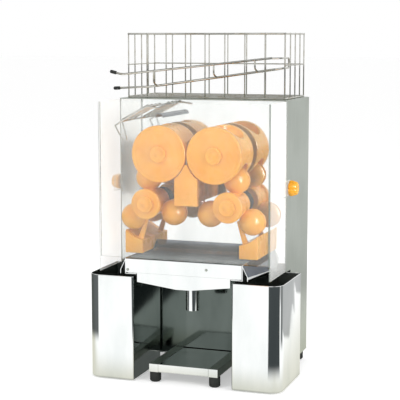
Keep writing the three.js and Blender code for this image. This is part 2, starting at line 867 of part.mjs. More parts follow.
// A block under the balls' sweep with a finger up into the slot round the balls.
function makeStripper(side) {
  const axis = side * lowerX;
  const along = [blockFrontY - overrun, bodyFront + overrun];
  const sweep = rodY([axis, lowerZ], along, ballSweep + stripperGap, drumSides);
  const bulk = block(
    ordered(side * blockInner, side * blockOuter),
    [blockFrontY, bodyFront],
    [blockBottom, lowerZ - ballRadius],
  ).subtract(sweep);
  const toBlock = Math.atan2(blockBottom - lowerZ, side * ((blockInner + blockOuter) / 2 - lowerX));
  const [dirX, dirZ] = polar(1, toBlock);
  const corner = (out, across) => [axis + dirX * out - dirZ * across, lowerZ + dirZ * out + dirX * across];
  const rooted = ballSweep + stripperGap + stripperHalf;
  const finger = prismY(
    [
      corner(stripperIn, -stripperHalf / 2),
      corner(rooted, -stripperHalf),
      corner(rooted, stripperHalf),
      corner(stripperIn, stripperHalf / 2),
    ],
    [pressMiddle - stripperThick / 2, pressMiddle + stripperThick / 2],
  );
  return bulk.add(finger);
}

// Three panes: the front one stops above the trays, the sides reach down to the bins.
function makeCover() {
  const back = bodyFront - gap;
  const outer = roundedRectangle(
    [-bodyHalf, bodyHalf],
    [coverFront, back],
    [coverCorner, coverCorner, 0, 0],
  );
  const inner = roundedRectangle(
    [-bodyHalf + pane, bodyHalf - pane],
    [coverFront + pane, back + overrun],
    [coverCorner - pane, coverCorner - pane, 0, 0],
  );
  const panes = prismZ(outer, [coverSideBottom, coverTop]).subtract(
    prismZ(inner, [coverSideBottom - overrun, coverTop + overrun]),
  );
  const underFront = block(
    [-bodyHalf + pane, bodyHalf - pane],
    [coverFront - overrun, coverFront + pane + overrun],
    [coverSideBottom - overrun, coverFrontBottom],
  );
  const ears = [-1, 1].map((side) => {
    const ear = block(
      ordered(side * (bodyHalf - pane / 2), side * (bodyHalf + gap + earThick)),
      [earFront, earBack],
      [knobZ - earHalfHeight, knobZ + earHalfHeight],
    );
    const besideBody = block(
      ordered(side * (bodyHalf - pane - overrun), side * (bodyHalf + gap)),
      [back, earBack + overrun],
      [knobZ - earHalfHeight - overrun, knobZ + earHalfHeight + overrun],
    );
    const across = ordered(side * (bodyHalf - pane), side * (bodyHalf + earThick + overrun));
    const slot = block(
      across,
      [knobY, earBack + overrun],
      [knobZ - studRadius - gap, knobZ + studRadius + gap],
    ).add(rodX([knobY, knobZ], across, studRadius + gap));
    return cutBy(ear, [besideBody, slot]);
  });
  return joined([panes.subtract(underFront), ...ears]);
}

// A tapered grip knob, drawn along its own axis from the face that clamps the cover's ear.
function makeKnob() {
  const boreDepth = studLength - earThick;
  const body = turned([
    [0, 0],
    [knobRadius, 0],
    [knobRadius, knobLength / 3],
    [(knobRadius + knobNose) / 2 + nutEase, knobLength - nutEase],
    [knobNose, knobLength],
    [0, knobLength],
  ]);
  const grips = Array.from({ length: knobGrips }, (_, i) => {
    const [x, z] = polar(knobRadius + knobGripRadius / 2, (i * 2 * Math.PI) / knobGrips);
    return rodY([x, z], [-overrun, knobLength + overrun], knobGripRadius, screwSides);
  });
  return cutBy(body, [...grips, rodY([0, 0], [-overrun, boreDepth], studRadius + gap)]);
}

const pegXs = [binInner + 2 * hangerMargin, bodyHalf - 2 * hangerMargin];

// An open-topped bin with its broad curve at the outer front corner and two holes for the pegs.
function makeBin(side) {
  const frontCorners = [binFrontCorner, binCorner];
  const corners = [...(side < 0 ? frontCorners : frontCorners.reverse()), binCorner, binCorner];
  const [low, high] = ordered(side * binInner, side * binOuter);
  const outer = roundedRectangle([low, high], [binFront, binBack], corners);
  const inner = roundedRectangle(
    [low + sheet, high - sheet],
    [binFront + sheet, binBack - sheet],
    corners.map((radius) => radius - sheet),
  );
  const throughBack = [binBack - sheet - overrun, binBack + overrun];
  const holes = pegXs.map((x) =>
    rodY([side * x, hangerZ], throughBack, pegRadius + gap, roundSides / 2),
  );
  const hollow = prismZ(inner, [binBottom + sheet, binTop + overrun]);
  return cutBy(prismZ(outer, [binBottom, binTop]), [hollow, ...holes]);
}

function makeHanger(side) {
  const bar = block(
    ordered(side * (binInner + hangerMargin), side * (bodyHalf - hangerMargin)),
    [columnFront - hangerThick, columnFront],
    [hangerZ - hangerHeight / 2, hangerZ + hangerHeight / 2],
  );
  const pegEnds = [columnFront - pegReach, columnFront - hangerThick / 2];
  const pegs = pegXs.map((x) => rodY([side * x, hangerZ], pegEnds, pegRadius, roundSides / 2));
  return joined([bar, ...pegs]);
}

// A shallow pan with a taller front bar that matches the rails.
function makeDripTray() {
  const half = railHalfInner - gap;
  const back = columnFront - 2 * gap;
  const bottom = footHeight + sheet + gap;
  const pan = block([-half, half], [railFront, back], [bottom, bottom + trayWallHeight]);
  const hollow = block(
    [-half + trayWall, half - trayWall],
    [railFront + sheet, back - trayWall],
    [bottom + trayWall, bottom + trayWallHeight + overrun],
  );
  const bar = block([-half, half], [railFront, railFront + sheet], [bottom, footHeight + railHeight]);
  return pan.subtract(hollow).add(bar);
}

function makeStandPlate() {
  const half = railHalfInner - gap;
  const bottom = footHeight + sheet + gap + trayWallHeight + gap;
  return block(
    [-half, half],
    [railFront + sheet + gap, columnFront - 2 * gap],
    [bottom, bottom + standPlate],
  );
}

// Creased slide from the trays to the bin, wider at the press plate, with the shelf that carries the trays
// folded on its inner foot.
function makeChute(side) {
  const front = trayFront + sheet;
  const web = prismY(
    [
      [shelfInner, bodyUnder],
      [chuteWeb + sheet, bodyUnder],
      [chuteWeb + sheet, chuteTop],
      [chuteWeb, chuteTop],
      [chuteWeb, shelfTop],
      [shelfInner, shelfTop],
    ].map(([x, z]) => [side * x, z]),
    [front, bodyFront],
  );
  const hemTop = bodyUnder + chuteHem;
  const frontTop = [chuteWeb, front, chuteTop];
  const backTop = [chuteWeb, bodyFront, chuteTop];
  const frontLip = [chuteWeb + chuteFrontReach, front, hemTop];
  const backLip = [chuteWeb + chuteBackReach, bodyFront, hemTop];
  const between = (corners, [dx, dz]) =>
    wasm.Manifold.hull(
      corners.flatMap(([x, y, z]) => [
        [side * x, y, z],
        [side * (x + dx), y, z + dz],
      ]),
    );
  const slopes = [
    [frontTop, backTop, backLip],
    [frontTop, backLip, frontLip],
  ].map((corners) => between(corners, [0, -2 * sheet]));
  const foot = ([x, y]) => [x, y, bodyUnder];
  const hem = between([frontLip, backLip, foot(backLip), foot(frontLip)], [-sheet, 0]);
  const tab = block(
    ordered(side * chuteWeb, side * (chuteWeb + chuteTabWidth)),
    [bodyFront - sheet, bodyFront],
    [bodyUnder + sheet, bodyUnder + chuteTabHeight],
  );
  return joined([web, ...slopes, hem, tab]);
}

// A slotted floor with low walls, behind the broad lip that shows under the cover.
function makeStrainer() {
  const half = chuteWeb - gap;
  const wall = block([-half, half], [trayFront, strainerBack], [strainerBottom, lipTop]);
  const hollow = block(
    [-half + sheet, half - sheet],
    [trayFront + sheet, strainerBack - sheet],
    [strainerBottom + sheet, lipTop + overrun],
  );
  const outermost = collectorHalf - strainerSlotMargin;
  const slots = span(strainerSlots, -outermost, outermost).map((x) =>
    block(
      [x - strainerSlotWidth / 2, x + strainerSlotWidth / 2],
      [trayFront + strainerSlotMargin, strainerBack - strainerSlotMargin],
      [strainerBottom - overrun, strainerBottom + sheet + overrun],
    ),
  );
  return cutBy(wall, [hollow, ...slots]);
}

function collectorOutline(inset, top) {
  const half = collectorHalf - inset;
  const flat = spoutRadius + sheet;
  return [
    [-half, collectorShoulder + inset],
    [-flat, collectorFloor + inset],
    [flat, collectorFloor + inset],
    [half, collectorShoulder + inset],
    [half, top],
    [-half, top],
  ];
}

// A pan that falls to a round spout, with a rim that slides on the shelves.
function makeCollector() {
  const front = trayFront + sheet;
  const pan = prismY(collectorOutline(0, rimTop), [front, collectorBack]);
  const rim = block([-collectorRimHalf, collectorRimHalf], [front, collectorBack], [rimBottom, rimTop]);
  const hollow = prismY(collectorOutline(sheet, rimTop + overrun), [front + sheet, collectorBack - sheet]);
  const axis = [0, pressMiddle];
  const spout = rodZ(axis, [spoutBottom, collectorFloor + sheet / 2], spoutRadius);
  const boreEnds = [spoutBottom - overrun, collectorFloor + sheet + overrun];
  return cutBy(joined([pan, rim, spout]), [hollow, rodZ(axis, boreEnds, spoutRadius - sheet)]);
}

function makeSplashPlate() {
  const leaning = [
    [bodyFront, splashTop],
    [bodyFront, splashTop + splashTab],
    [bodyFront - sheet, splashTop + splashTab],
    [bodyFront - sheet, splashTop],
    [bodyFront - splashLean, splashBottom + sheet],
    [bodyFront - splashLean, splashBottom],
    [bodyFront - splashLean + sheet, splashBottom],
  ];
  return prismX(leaning, [-shelfInner, shelfInner]);
}

// A welded cage of wire: frames at the bottom and top, a middle wire at the sides and back, uprights, floor.
function makeHopper() {
  const x = hopperHalf - frameWire;
  const front = hopperFront + frameWire;
  const back = hopperBack - frameWire;
  const low = bodyTop + gap + frameWire;
  const high = hopperTop - frameWire;
  const ring = (z) => [
    wire([-x - frameWire, front, z], [x + frameWire, front, z], frameWire),
    wire([-x - frameWire, back, z], [x + frameWire, back, z], frameWire),
    wire([-x, front, z], [-x, back, z], frameWire),
    wire([x, front, z], [x, back, z], frameWire),
  ];
  const middle = [
    wire([-x, front, hopperMid], [-x, back, hopperMid], thinWire, thinSides),
    wire([x, front, hopperMid], [x, back, hopperMid], thinWire, thinSides),
    wire([-x, back, hopperMid], [x, back, hopperMid], thinWire, thinSides),
  ];
  const upright = (px, py) => wire([px, py, low], [px, py, high], thinWire, thinSides);
  const uprights = [
    ...span(hopperFrontBays + 1, -x, x).flatMap((px) => [upright(px, front), upright(px, back)]),
    ...span(hopperSideBays + 1, front, back)
      .slice(1, -1)
      .flatMap((py) => [upright(-x, py), upright(x, py)]),
  ];
  const floor = span(hopperFloorWires + 2, front, back)
    .slice(1, -1)
    .map((py) => wire([-x, py, low], [x, py, low], thinWire, thinSides));
  return joined([...ring(low), ...ring(high), ...middle, ...uprights, ...floor]);
}

const onLine = ([x0, z0], [x1, z1], x) => z0 + ((z1 - z0) * (x - x0)) / (x1 - x0);
const guardAt = (x) => onLine([guardLeftX, guardLeftZ], [guardRightX, guardRightZ], x);
const railAt = (x) => onLine([railLeftX, railLeftZ], [railRightX, railRightZ], x);
const hopperStep = (2 * (hopperHalf - frameWire)) / hopperFrontBays;
const hangerXs = [-2 * hopperStep, hopperStep, 3 * hopperStep];

const guardEnd = [tipX, guardY, guardTipZ];
const railEnd = [tipX, frontRailY, railTipZ];

// The place on a wire's last run that lies a length short of its end.
function beforeTip(end, corner, length) {
  const tip = new THREE.Vector3(...end);
  return tip.add(new THREE.Vector3(...corner).sub(tip).setLength(length)).toArray();
}

// Two rails and a guard that fall to the left, held off the hopper's front uprights by cradles.
function makeFeedLane() {
  const guard = bentWire(
    [
      beforeTip(guardEnd, [guardLeftX, guardY, guardLeftZ], tipLength / 2),
      [guardLeftX, guardY, guardLeftZ],
      [guardRightX, guardY, guardRightZ],
    ],
    laneWire,
    laneBend,
  );
  const frontRail = bentWire(
    [
      beforeTip(railEnd, [railLeftX, frontRailY, railLeftZ], tipLength / 2),
      [railLeftX, frontRailY, railLeftZ],
      [railRightX, frontRailY, railRightZ],
    ],
    laneWire,
    laneBend,
  );
  const backRail = wire([railLeftX, backRailY, railLeftZ], [railRightX, backRailY, railRightZ], laneWire);
  const cradles = hangerXs.map((x) =>
    bentWire(
      [
        [x, hopperFront + frameWire - thinWire - gap, railAt(x)],
        [x, frontRailY, railAt(x)],
        [x, guardY, railAt(x) + laneBend],
        [x, guardY, guardAt(x)],
      ],
      frameWire,
      laneBend / 2,
    ),
  );
  const claspTop = railAt(claspX) + 2 * claspHalf;
  const clasp = bentWire(
    [
      [guardRightX - laneBend, guardY, guardAt(guardRightX - laneBend)],
      [claspX, guardY, claspTop],
      [claspX, backRailY, claspTop],
      [claspX, backRailY, railAt(claspX)],
      [claspX, frontRailY, railAt(claspX)],
      [railRightX - laneBend, frontRailY, railAt(railRightX - laneBend)],
    ],
    frameWire,
    laneBend / 2,
  );
  const closer = wire([railRightX, backRailY, railRightZ], [claspX, backRailY, railAt(claspX)], frameWire);
  return joined([guard, frontRail, backRail, ...cradles, clasp, closer]);
}

// A blind cap, drawn along X from its open end at zero to its rounded end on the left.
function makeTip() {
  const cap = rodX([0, 0], [-tipLength, 0], tipRadius, roundSides / 2);
  const bore = rodX([0, 0], [-tipLength / 2 - gap, overrun], laneWire + gap, roundSides / 2);
  return cap.subtract(bore);
}

// Parallel wires that slope to the left on two cross bars from the press plate, with a loop at the low end.
function makeFeedSlide() {
  const crossBars = [
    wire([slideTopX, slideFrontY, slideTopZ], [slideTopX, bodyFront, slideTopZ], laneWire),
    wire([slideLowX, slideFrontY, slideLowZ], [slideLowX, bodyFront, slideLowZ], laneWire),
  ];
  const slope = (slideTopZ - slideLowZ) / (slideTopX - slideLowX);
  const above = frameWire + laneWire / 2;
  const runs = span(slideWires, slideFrontY + frameWire, slideBackY).map((y) =>
    wire([slideLowX, y, slideLowZ + above], [slideTopX, y, slideTopZ + above], frameWire),
  );
  const lip = bentWire(
    [
      [hoodRightX, slideFrontY, slideTopZ - frameWire * 2],
      [slideTopX, slideFrontY, slideTopZ],
      [slideLowX, slideFrontY, slideLowZ],
      [slideTongueX, slideFrontY, slideTongueZ],
    ],
    frameWire,
    laneBend / 2,
  );
  const loopX = slideLowX + slope * laneBend;
  const loop = bentWire(
    [
      [slideTongueX, slideFrontY, slideTongueZ],
      [slideLowX, slideFrontY, slideLoopZ],
      [loopX + laneBend, slideFrontY, slideLoopZ],
      [slideLowX, slideFrontY, slideLowZ],
    ],
    thinWire,
    laneBend / 2,
  );
  return joined([...crossBars, ...runs, lip, loop]);
}

// A curved deflector on the press plate, beside the slide's top.
function makeHood() {
  const width = hoodRightX - hoodLeftX;
  const middle = (hoodLeftX + hoodRightX) / 2;
  const arc = (radius) =>
    span(cornerSteps + 2, 0, Math.PI).map((angle) => {
      const [x, z] = polar(radius, angle);
      return [middle + x, hoodZ + z];
    });
  const strip = [...arc(width / 2), ...arc(width / 2 - sheet).reverse()];
  return prismY(strip, [hoodFrontY, bodyFront]);
}

const moduleFace = rear + moduleFlangeThick;
const rockerZ = moduleZ + rockerRise;

// The inlet's socket and the rocker's opening in one flanged block.
function makePowerModule() {
  const flange = block(
    [moduleX - moduleHalfWidth - moduleFlange, moduleX + moduleHalfWidth + moduleFlange],
    [rear, moduleFace],
    [moduleZ - moduleHalfHeight - moduleFlange, moduleZ + moduleHalfHeight + moduleFlange],
  );
  const body = block(
    [moduleX - moduleHalfWidth, moduleX + moduleHalfWidth],
    [rear - moduleDepth, moduleFace],
    [moduleZ - moduleHalfHeight, moduleZ + moduleHalfHeight],
  );
  const socket = block(
    [moduleX - inletHalfWidth, moduleX + inletHalfWidth],
    [moduleFace - inletDepth, moduleFace + overrun],
    [moduleZ - inletDrop - inletHalfHeight, moduleZ - inletDrop + inletHalfHeight],
  );
  const reach = Math.hypot(rockerProud, rockerHalfHeight) + gap;
  const opening = block(
    [moduleX - rockerHalfWidth - gap, moduleX + rockerHalfWidth + gap],
    [moduleFace - inletDepth, moduleFace + overrun],
    [rockerZ - reach, rockerZ + reach],
  );
  const blades = [-1, 0, 1].map((step) =>
    block(
      [moduleX + (step * inletHalfWidth) / 2 - sheet / 2, moduleX + (step * inletHalfWidth) / 2 + sheet / 2],
      [moduleFace - inletDepth - overrun / 2, moduleFace - inletDepth / 3],
      [moduleZ - inletDrop - sheet, moduleZ - inletDrop + sheet],
    ),
  );
  return joined([cutBy(flange.add(body), [socket, opening]), ...blades]);
}

// A rocker whose two faces meet in a shallow valley, drawn about its pivot and tilted to its off position.
function makeRocker() {
  const outline = [
    [-rockerBack, -rockerHalfHeight / 2],
    [rockerProud, -rockerHalfHeight],
    [rockerProud - rockerDip, 0],
    [rockerProud, rockerHalfHeight],
    [-rockerBack, rockerHalfHeight / 2],
  ].map(([y, z]) => [
    y * Math.cos(rockerTilt) - z * Math.sin(rockerTilt),
    y * Math.sin(rockerTilt) + z * Math.cos(rockerTilt),
  ]);
  return prismX(outline, [-rockerHalfWidth, rockerHalfWidth]);
}

function makeControlBox() {
  return block(
    [controlX - controlHalf, controlX + controlHalf],
    [controlFront, controlFront + controlDepth],
    [footHeight + plate, footHeight + plate + controlHeight],
  );
}

function makeCoverSwitch() {
  return block(
    [switchX - switchWidth / 2, switchX + switchWidth / 2],
    [bodyFront + plate, bodyFront + plate + switchDepth],
    [switchZ - switchHeight / 2, switchZ + switchHeight / 2],
  );
}

// Base and body
place("base_frame", makeBaseFrame(), "brushed_steel");
for (const side of [-1, 1]) {
  const frontFoot = place("foot_front_" + sideName(side), makeFoot(), "black_rubber");
  frontFoot.rotation.x = Math.PI / 2;
  frontFoot.position.set(side * (railHalfInner + railWidth / 2), railFront + footRadius, 0);
  const rearFoot = place("foot_rear_" + sideName(side), makeFoot(), "black_rubber");
  rearFoot.rotation.x = Math.PI / 2;
  rearFoot.position.set(side * (bodyHalf - footInset - sheet), rear - footInset, 0);
}
place("body_shell", makeBodyShell(), "brushed_steel");
place("front_plate", makeFrontPlate(), "polished_steel");
place("bay_panel", makeBayPanel(), "dark_steel");
place("back_panel", makeBackPanel(), "brushed_steel");

// Press train: each shaft is a group at its own axis
for (const side of [-1, 1]) {
  const line = squeezeLine(side);
  const turn = -side * restTurn;
  const drum = new THREE.Group();
  drum.position.set(side * upperX, 0, upperZ);
  place("drum_" + sideName(side), makeDrum(line + turn), "amber_plastic", drum);
  place("drum_shaft_" + sideName(side), makeShaft(), "gear_steel", drum);
  place("drum_nut_" + sideName(side), makeNut(), "amber_plastic", drum);
  place("drum_gears_" + sideName(side), makeDrumGears(side), "gear_steel", drum);
  place("drum_bearing_" + sideName(side), makeBearing(), "black_plastic", drum);
  const press = new THREE.Group();
  press.position.set(side * lowerX, 0, lowerZ);
  place("ball_press_" + sideName(side), makeBallPress(line + Math.PI - turn), "amber_plastic", press);
  place("press_shaft_" + sideName(side), makeShaft(), "gear_steel", press);
  place("press_nut_" + sideName(side), makeNut(), "amber_plastic", press);
  place("press_gear_" + sideName(side), makePressGear(side), "gear_steel", press);
  place("press_bearing_" + sideName(side), makeBearing(), "black_plastic", press);
  juicer.add(drum, press);
  place("peel_stripper_" + sideName(side), makeStripper(side), "amber_plastic");
  place("peel_chute_" + sideName(side), makeChute(side), "dark_steel");
  place("waste_bin_" + sideName(side), makeBin(side), "polished_steel");
  place("bin_hanger_" + sideName(side), makeHanger(side), "brushed_steel");
  const knob = place("cover_knob_" + sideName(side), makeKnob(), "amber_plastic");
  knob.rotation.z = (-side * Math.PI) / 2;
  knob.position.set(side * (bodyHalf + 2 * gap + earThick), knobY, knobZ);
}
place("bearing_plate", makeBearingPlate(), "brushed_steel");
for (const [name, body, finish] of [
  ["drive_pinion", makePinion(), "gear_steel"],
  ["gear_motor", makeGearMotor(), "motor_paint"],
]) {
  const mesh = place(name, body, finish);
  mesh.position.set(pinionAxis[0], 0, pinionAxis[1]);
}
place("wedge", makeWedge(), "amber_plastic");
place("knife", makeKnife(), "polished_steel");

// Covers and trays
place("cover", makeCover(), "clear_plastic");
place("cover_switch", makeCoverSwitch(), "black_plastic");
place("splash_plate", makeSplashPlate(), "dark_steel");
place("strainer_tray", makeStrainer(), "polished_steel");
place("collector_tray", makeCollector(), "polished_steel");
place("drip_tray", makeDripTray(), "polished_steel");
place("stand_plate", makeStandPlate(), "polished_steel");

// Hopper and feed
place("hopper_basket", makeHopper(), "chrome");
place("feed_lane", makeFeedLane(), "chrome");
for (const [name, end, corner] of [
  ["guard_tip", guardEnd, [guardLeftX, guardY, guardLeftZ]],
  ["rail_tip", railEnd, [railLeftX, frontRailY, railLeftZ]],
]) {
  const tip = place(name, makeTip(), "black_rubber");
  tip.rotation.y = Math.atan2(end[2] - corner[2], corner[0] - end[0]);
  tip.position.set(...beforeTip(end, corner, tipLength));
}
place("feed_slide", makeFeedSlide(), "chrome");
place("feed_deflector", makeHood(), "dark_steel");

// Electrics
place("power_module", makePowerModule(), "black_plastic");
const rocker = place("power_rocker", makeRocker(), "black_plastic");
rocker.position.set(moduleX, moduleFace - rockerPivot, rockerZ);
place("control_box", makeControlBox(), "black_plastic");

export default juicer;
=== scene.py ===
"""Automatic citrus juicer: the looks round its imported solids. The making is in millimetres."""
import json
from math import atan2, cos, degrees, pi, radians, sin, sqrt

import bmesh
import bpy
import numpy as np
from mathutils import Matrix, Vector

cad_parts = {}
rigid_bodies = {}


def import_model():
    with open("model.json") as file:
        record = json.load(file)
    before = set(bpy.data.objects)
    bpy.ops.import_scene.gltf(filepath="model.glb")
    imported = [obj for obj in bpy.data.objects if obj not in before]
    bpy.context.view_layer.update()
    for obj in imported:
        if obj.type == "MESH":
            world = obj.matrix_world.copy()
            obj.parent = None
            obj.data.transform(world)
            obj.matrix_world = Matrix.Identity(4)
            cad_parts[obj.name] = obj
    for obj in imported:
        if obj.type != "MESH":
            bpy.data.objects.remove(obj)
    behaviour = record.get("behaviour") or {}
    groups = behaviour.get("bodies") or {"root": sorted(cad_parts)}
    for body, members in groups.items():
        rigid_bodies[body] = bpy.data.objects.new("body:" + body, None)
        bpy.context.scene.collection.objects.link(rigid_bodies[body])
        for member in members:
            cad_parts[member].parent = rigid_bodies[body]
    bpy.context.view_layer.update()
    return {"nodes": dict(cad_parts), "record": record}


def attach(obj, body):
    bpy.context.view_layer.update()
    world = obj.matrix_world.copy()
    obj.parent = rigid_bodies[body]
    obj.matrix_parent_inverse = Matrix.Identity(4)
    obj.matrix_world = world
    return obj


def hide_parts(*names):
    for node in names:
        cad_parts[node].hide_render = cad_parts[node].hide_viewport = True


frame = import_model()

MM = 0.001
SIDES = {-1: "left", 1: "right"}
SLOT_OF = {part["node"]: part["material_slot"] for part in frame["record"]["subparts"]}
BODY_OF = {node: body for body, nodes in frame["record"]["behaviour"]["bodies"].items() for node in nodes}


def span(count, start, end):
    """That many numbers, evenly from start to end."""
    return [start + (end - start) * i / (count - 1) for i in range(count)]


def round_angles(sides):
    return span(sides + 1, 0, 2 * pi)[:-1]


def colour(code):
    """A web colour as the linear colour that a shader takes."""
    parts = [int(code[i:i + 2], 16) / 255 for i in (1, 3, 5)]
    return (*[p / 12.92 if p <= 0.04045 else ((p + 0.055) / 1.055) ** 2.4 for p in parts], 1)


# Materials

class Link:
    """A shader socket in arithmetic: each operator adds its Math node."""

    def __init__(self, board, socket):
        self.board = board
        self.socket = socket

    def __add__(self, other):
        return self.board.maths("ADD", self, other)

    def __sub__(self, other):
        return self.board.maths("SUBTRACT", self, other)

    def __rsub__(self, other):
        return self.board.maths("SUBTRACT", other, self)

    def __mul__(self, other):
        return self.board.maths("MULTIPLY", self, other)

    def __pow__(self, other):
        return self.board.maths("POWER", self, other)

    def __rpow__(self, other):
        return self.board.maths("POWER", other, self)

    def __or__(self, other):
        return self.board.maths("MAXIMUM", self, other)

    __radd__ = __add__
    __rmul__ = __mul__
    __ror__ = __or__


class Board:
    """A node tree, and the one way to add a node to it."""

    def __init__(self, owner):
        owner.use_nodes = True
        self.tree = owner.node_tree
        self.tree.nodes.clear()

    def node(self, kind, settings=None, sockets=None, output=0):
        made = self.tree.nodes.new("ShaderNode" + kind)
        for name, value in (settings or {}).items():
            setattr(made, name, value)
        for name, value in (sockets or {}).items():
            if isinstance(value, Link):
                self.tree.links.new(value.socket, made.inputs[name])
            else:
                made.inputs[name].default_value = value
        return Link(self, made.outputs[output]) if made.outputs else None

    def maths(self, operation, first, second=0):
        return self.node("Math", {"operation": operation}, {0: first, 1: second})

    def place(self, stretch=(1, 1, 1)):
        """The piece's own coordinates in metres, each times its stretch."""
        own = self.node("TexCoord", output="Object")
        return self.node("VectorMath", {"operation": "MULTIPLY"}, {0: own, 1: stretch})

    def parts(self, vector):
        outputs = self.node("SeparateXYZ", None, {"Vector": vector}).socket.node.outputs
        return [Link(self, output) for output in outputs]

    def rays(self):
        """Whether a ray comes from the camera, off a glossy face, or through a clear one."""
        outputs = self.node("LightPath").socket.node.outputs
        return [Link(self, outputs[f"Is {kind} Ray"]) for kind in ("Camera", "Glossy", "Transmission")]

    def noise(self, scale, detail=3, stretch=(1, 1, 1), roughness=0.5):
        return self.node("TexNoise", None, {
            "Vector": self.place(stretch), "Scale": scale, "Detail": detail, "Roughness": roughness,
        })

    def ease(self, value, low, high, low_result=0, high_result=1):
        """The value carried smoothly from one range to another."""
        return self.node("MapRange", {"interpolation_type": "SMOOTHSTEP"}, {
            "Value": value, "From Min": low, "From Max": high,
            "To Min": low_result, "To Max": high_result,
        })

    def between(self, value, low, high, soft):
        """1 between low and high, falling to 0 over the soft width on either side."""
        return self.ease(value, low - soft, low + soft) * self.ease(value, high + soft, high - soft)

    def mixed(self, share, first, second):
        return self.node("Mix", {"data_type": "RGBA"}, {0: share, 6: first, 7: second}, output=2)

    def bump(self, height, strength, distance, under=None):
        sockets = {"Height": height, "Strength": strength, "Distance": distance}
        if under:
            sockets["Normal"] = under
        return self.node("Bump", None, sockets)

    def finish(self, **sockets):
        """The Principled shader with these sockets, on the output."""
        named = {
            name.replace("_", " ").title().replace("Ior", "IOR"): value for name, value in sockets.items()
        }
        self.node("OutputMaterial", None, {"Surface": self.node("BsdfPrincipled", None, named)})


finishes = {}


def new_finish(name):
    finishes[name] = bpy.data.materials.new(name)
    return Board(finishes[name])


def mirror_steel(name, light, dark, roughness):
    """Polished sheet: faint waves, wiped smears, and fine hairlines along Z."""
    board = new_finish(name)
    waves = board.noise(7, detail=2)
    smears = board.noise(16, detail=4, stretch=(1, 1, 0.35))
    hairs = board.noise(900, detail=2, stretch=(1, 1, 0.03))
    board.finish(
        base_color=board.mixed(board.ease(smears, 0.3, 0.75), colour(light), colour(dark)),
        metallic=1.0,
        roughness=roughness + board.ease(smears, 0.4, 0.8) * 0.06 + hairs * 0.02,
        normal=board.bump(hairs, 0.02, 0.0002, under=board.bump(waves, 0.12, 0.004)),
    )


def brushed_steel(name, light, dark, grain):
    """Satin sheet with its grain running along Z, and a few soft marks."""
    board = new_finish(name)
    grain_lines = board.noise(grain, stretch=(1, 1, 0.012), roughness=0.7)
    clouds = board.noise(9)
    board.finish(
        base_color=board.mixed(board.ease(grain_lines, 0.25, 0.75), colour(dark), colour(light)),
        metallic=1.0,
        roughness=board.ease(clouds, 0.3, 0.7, 0.27, 0.36) + grain_lines * 0.1,
        normal=board.bump(grain_lines, 0.18, 0.0003),
    )


def amber_plastic():
    """Moulded amber plastic: a slight mottle, a fine moulded grain and a worn sheen."""
    board = new_finish("amber_plastic")
    mottle = board.noise(22, detail=4)
    grain = board.noise(1400, detail=2)
    wear = board.noise(26)
    board.finish(
        base_color=board.mixed(board.ease(mottle, 0.3, 0.7), colour("#f8ab28"), colour("#fcb93a")),
        roughness=board.ease(wear, 0.3, 0.7, 0.25, 0.31),
        normal=board.bump(grain, 0.06, 0.0003, under=board.bump(mottle, 0.02, 0.002)),
        subsurface_weight=0.12,
        subsurface_radius=(0.012, 0.006, 0.002),
        subsurface_scale=0.5,
        specular_ior_level=0.36,
        coat_weight=0.15,
        coat_roughness=0.18,
    )


def clear_plastic(name, tint, veil, scuffs, glow):
    """Clear plastic, slightly milky, with wiped smears and fine scuffs.

    The glow stands for the light that the milky plastic scatters from outside the picture.
    """
    board = new_finish(name)
    smears = board.noise(14, detail=5, stretch=(1, 1, 0.5), roughness=0.6)
    scratches = board.noise(500, detail=2, stretch=(1, 1, 0.05))
    rim = board.node("LayerWeight", None, {"Blend": 0.25}, output="Facing")
    board.finish(
        base_color=colour(tint),
        roughness=board.ease(smears, 0.35, 0.75, 0.05, 0.22),
        alpha=board.ease(smears, 0.25, 0.8, veil, veil + scuffs) + rim * 0.5 + scratches * 0.02,
        normal=board.bump(smears, 0.03, 0.003),
        ior=1.49,
        emission_color=colour(tint),
        emission_strength=glow,
    )


def dark_moulding(name, dark, light, grain, sheen_low, sheen_high):
    """Rubber or black plastic with a pebbled grain and a little dust."""
    board = new_finish(name)
    pebbles = board.noise(grain)
    dust = board.noise(45, detail=5, roughness=0.7)
    board.finish(
        base_color=board.mixed(board.ease(dust, 0.45, 0.8), colour(dark), colour(light)),
        roughness=board.ease(dust, 0.3, 0.7, sheen_low, sheen_high),
        normal=board.bump(pebbles, 0.25, 0.0004),
    )


def plated_wire():
    """Bright plated wire, a little cream where the plating is thin."""
    board = new_finish("chrome")
    thin = board.noise(55, detail=4)
    board.finish(
        base_color=board.mixed(board.ease(thin, 0.45, 0.75), colour("#d3d2cb"), colour("#bdb6a4")),
        metallic=1.0,
        roughness=board.ease(thin, 0.3, 0.8, 0.08, 0.24),
        normal=board.bump(board.noise(260, detail=2), 0.05, 0.0003),
    )


mirror_steel("polished_steel", "#eceeed", "#dfe3e2", 0.04)
mirror_steel("dark_steel", "#767c84", "#5f666e", 0.10)
# A darker copy of the polished steel for the bay panel: painted shade and painted reflection
mirror_steel("bay_steel_painted_shade", "#606864", "#515955", 0.07)
# Darker, duller steel for the inside of the bins: its darker tone is painted shade in their hollow
mirror_steel("bin_inside_painted_shade", "#a5aca7", "#8e9590", 0.3)
brushed_steel("brushed_steel", "#c5cbc2", "#b4bbb1", 1100)
brushed_steel("gear_steel", "#94979a", "#7f8285", 700)
amber_plastic()
plated_wire()
clear_plastic("clear_plastic", "#fdfefb", 0.03, 0.04, 0.2)
# Opaque grey-green for the panes' cut edges and bent corners: their own greenish tint, darkened by
# painted shade
clear_plastic("clear_edge_painted_shade", "#8b948d", 0.62, 0.12, 0)
# Nearly opaque, glowing white for the panes' top edges: a painted highlight
clear_plastic("clear_rim_painted_highlight", "#f6f5f0", 0.75, 0.1, 0.2)
dark_moulding("black_rubber", "#262927", "#3a3d3a", 420, 0.55, 0.8)
dark_moulding("black_plastic", "#1e2021", "#303233", 900, 0.35, 0.55)
dark_moulding("motor_paint", "#39414a", "#4b535a", 300, 0.4, 0.6)


# Making

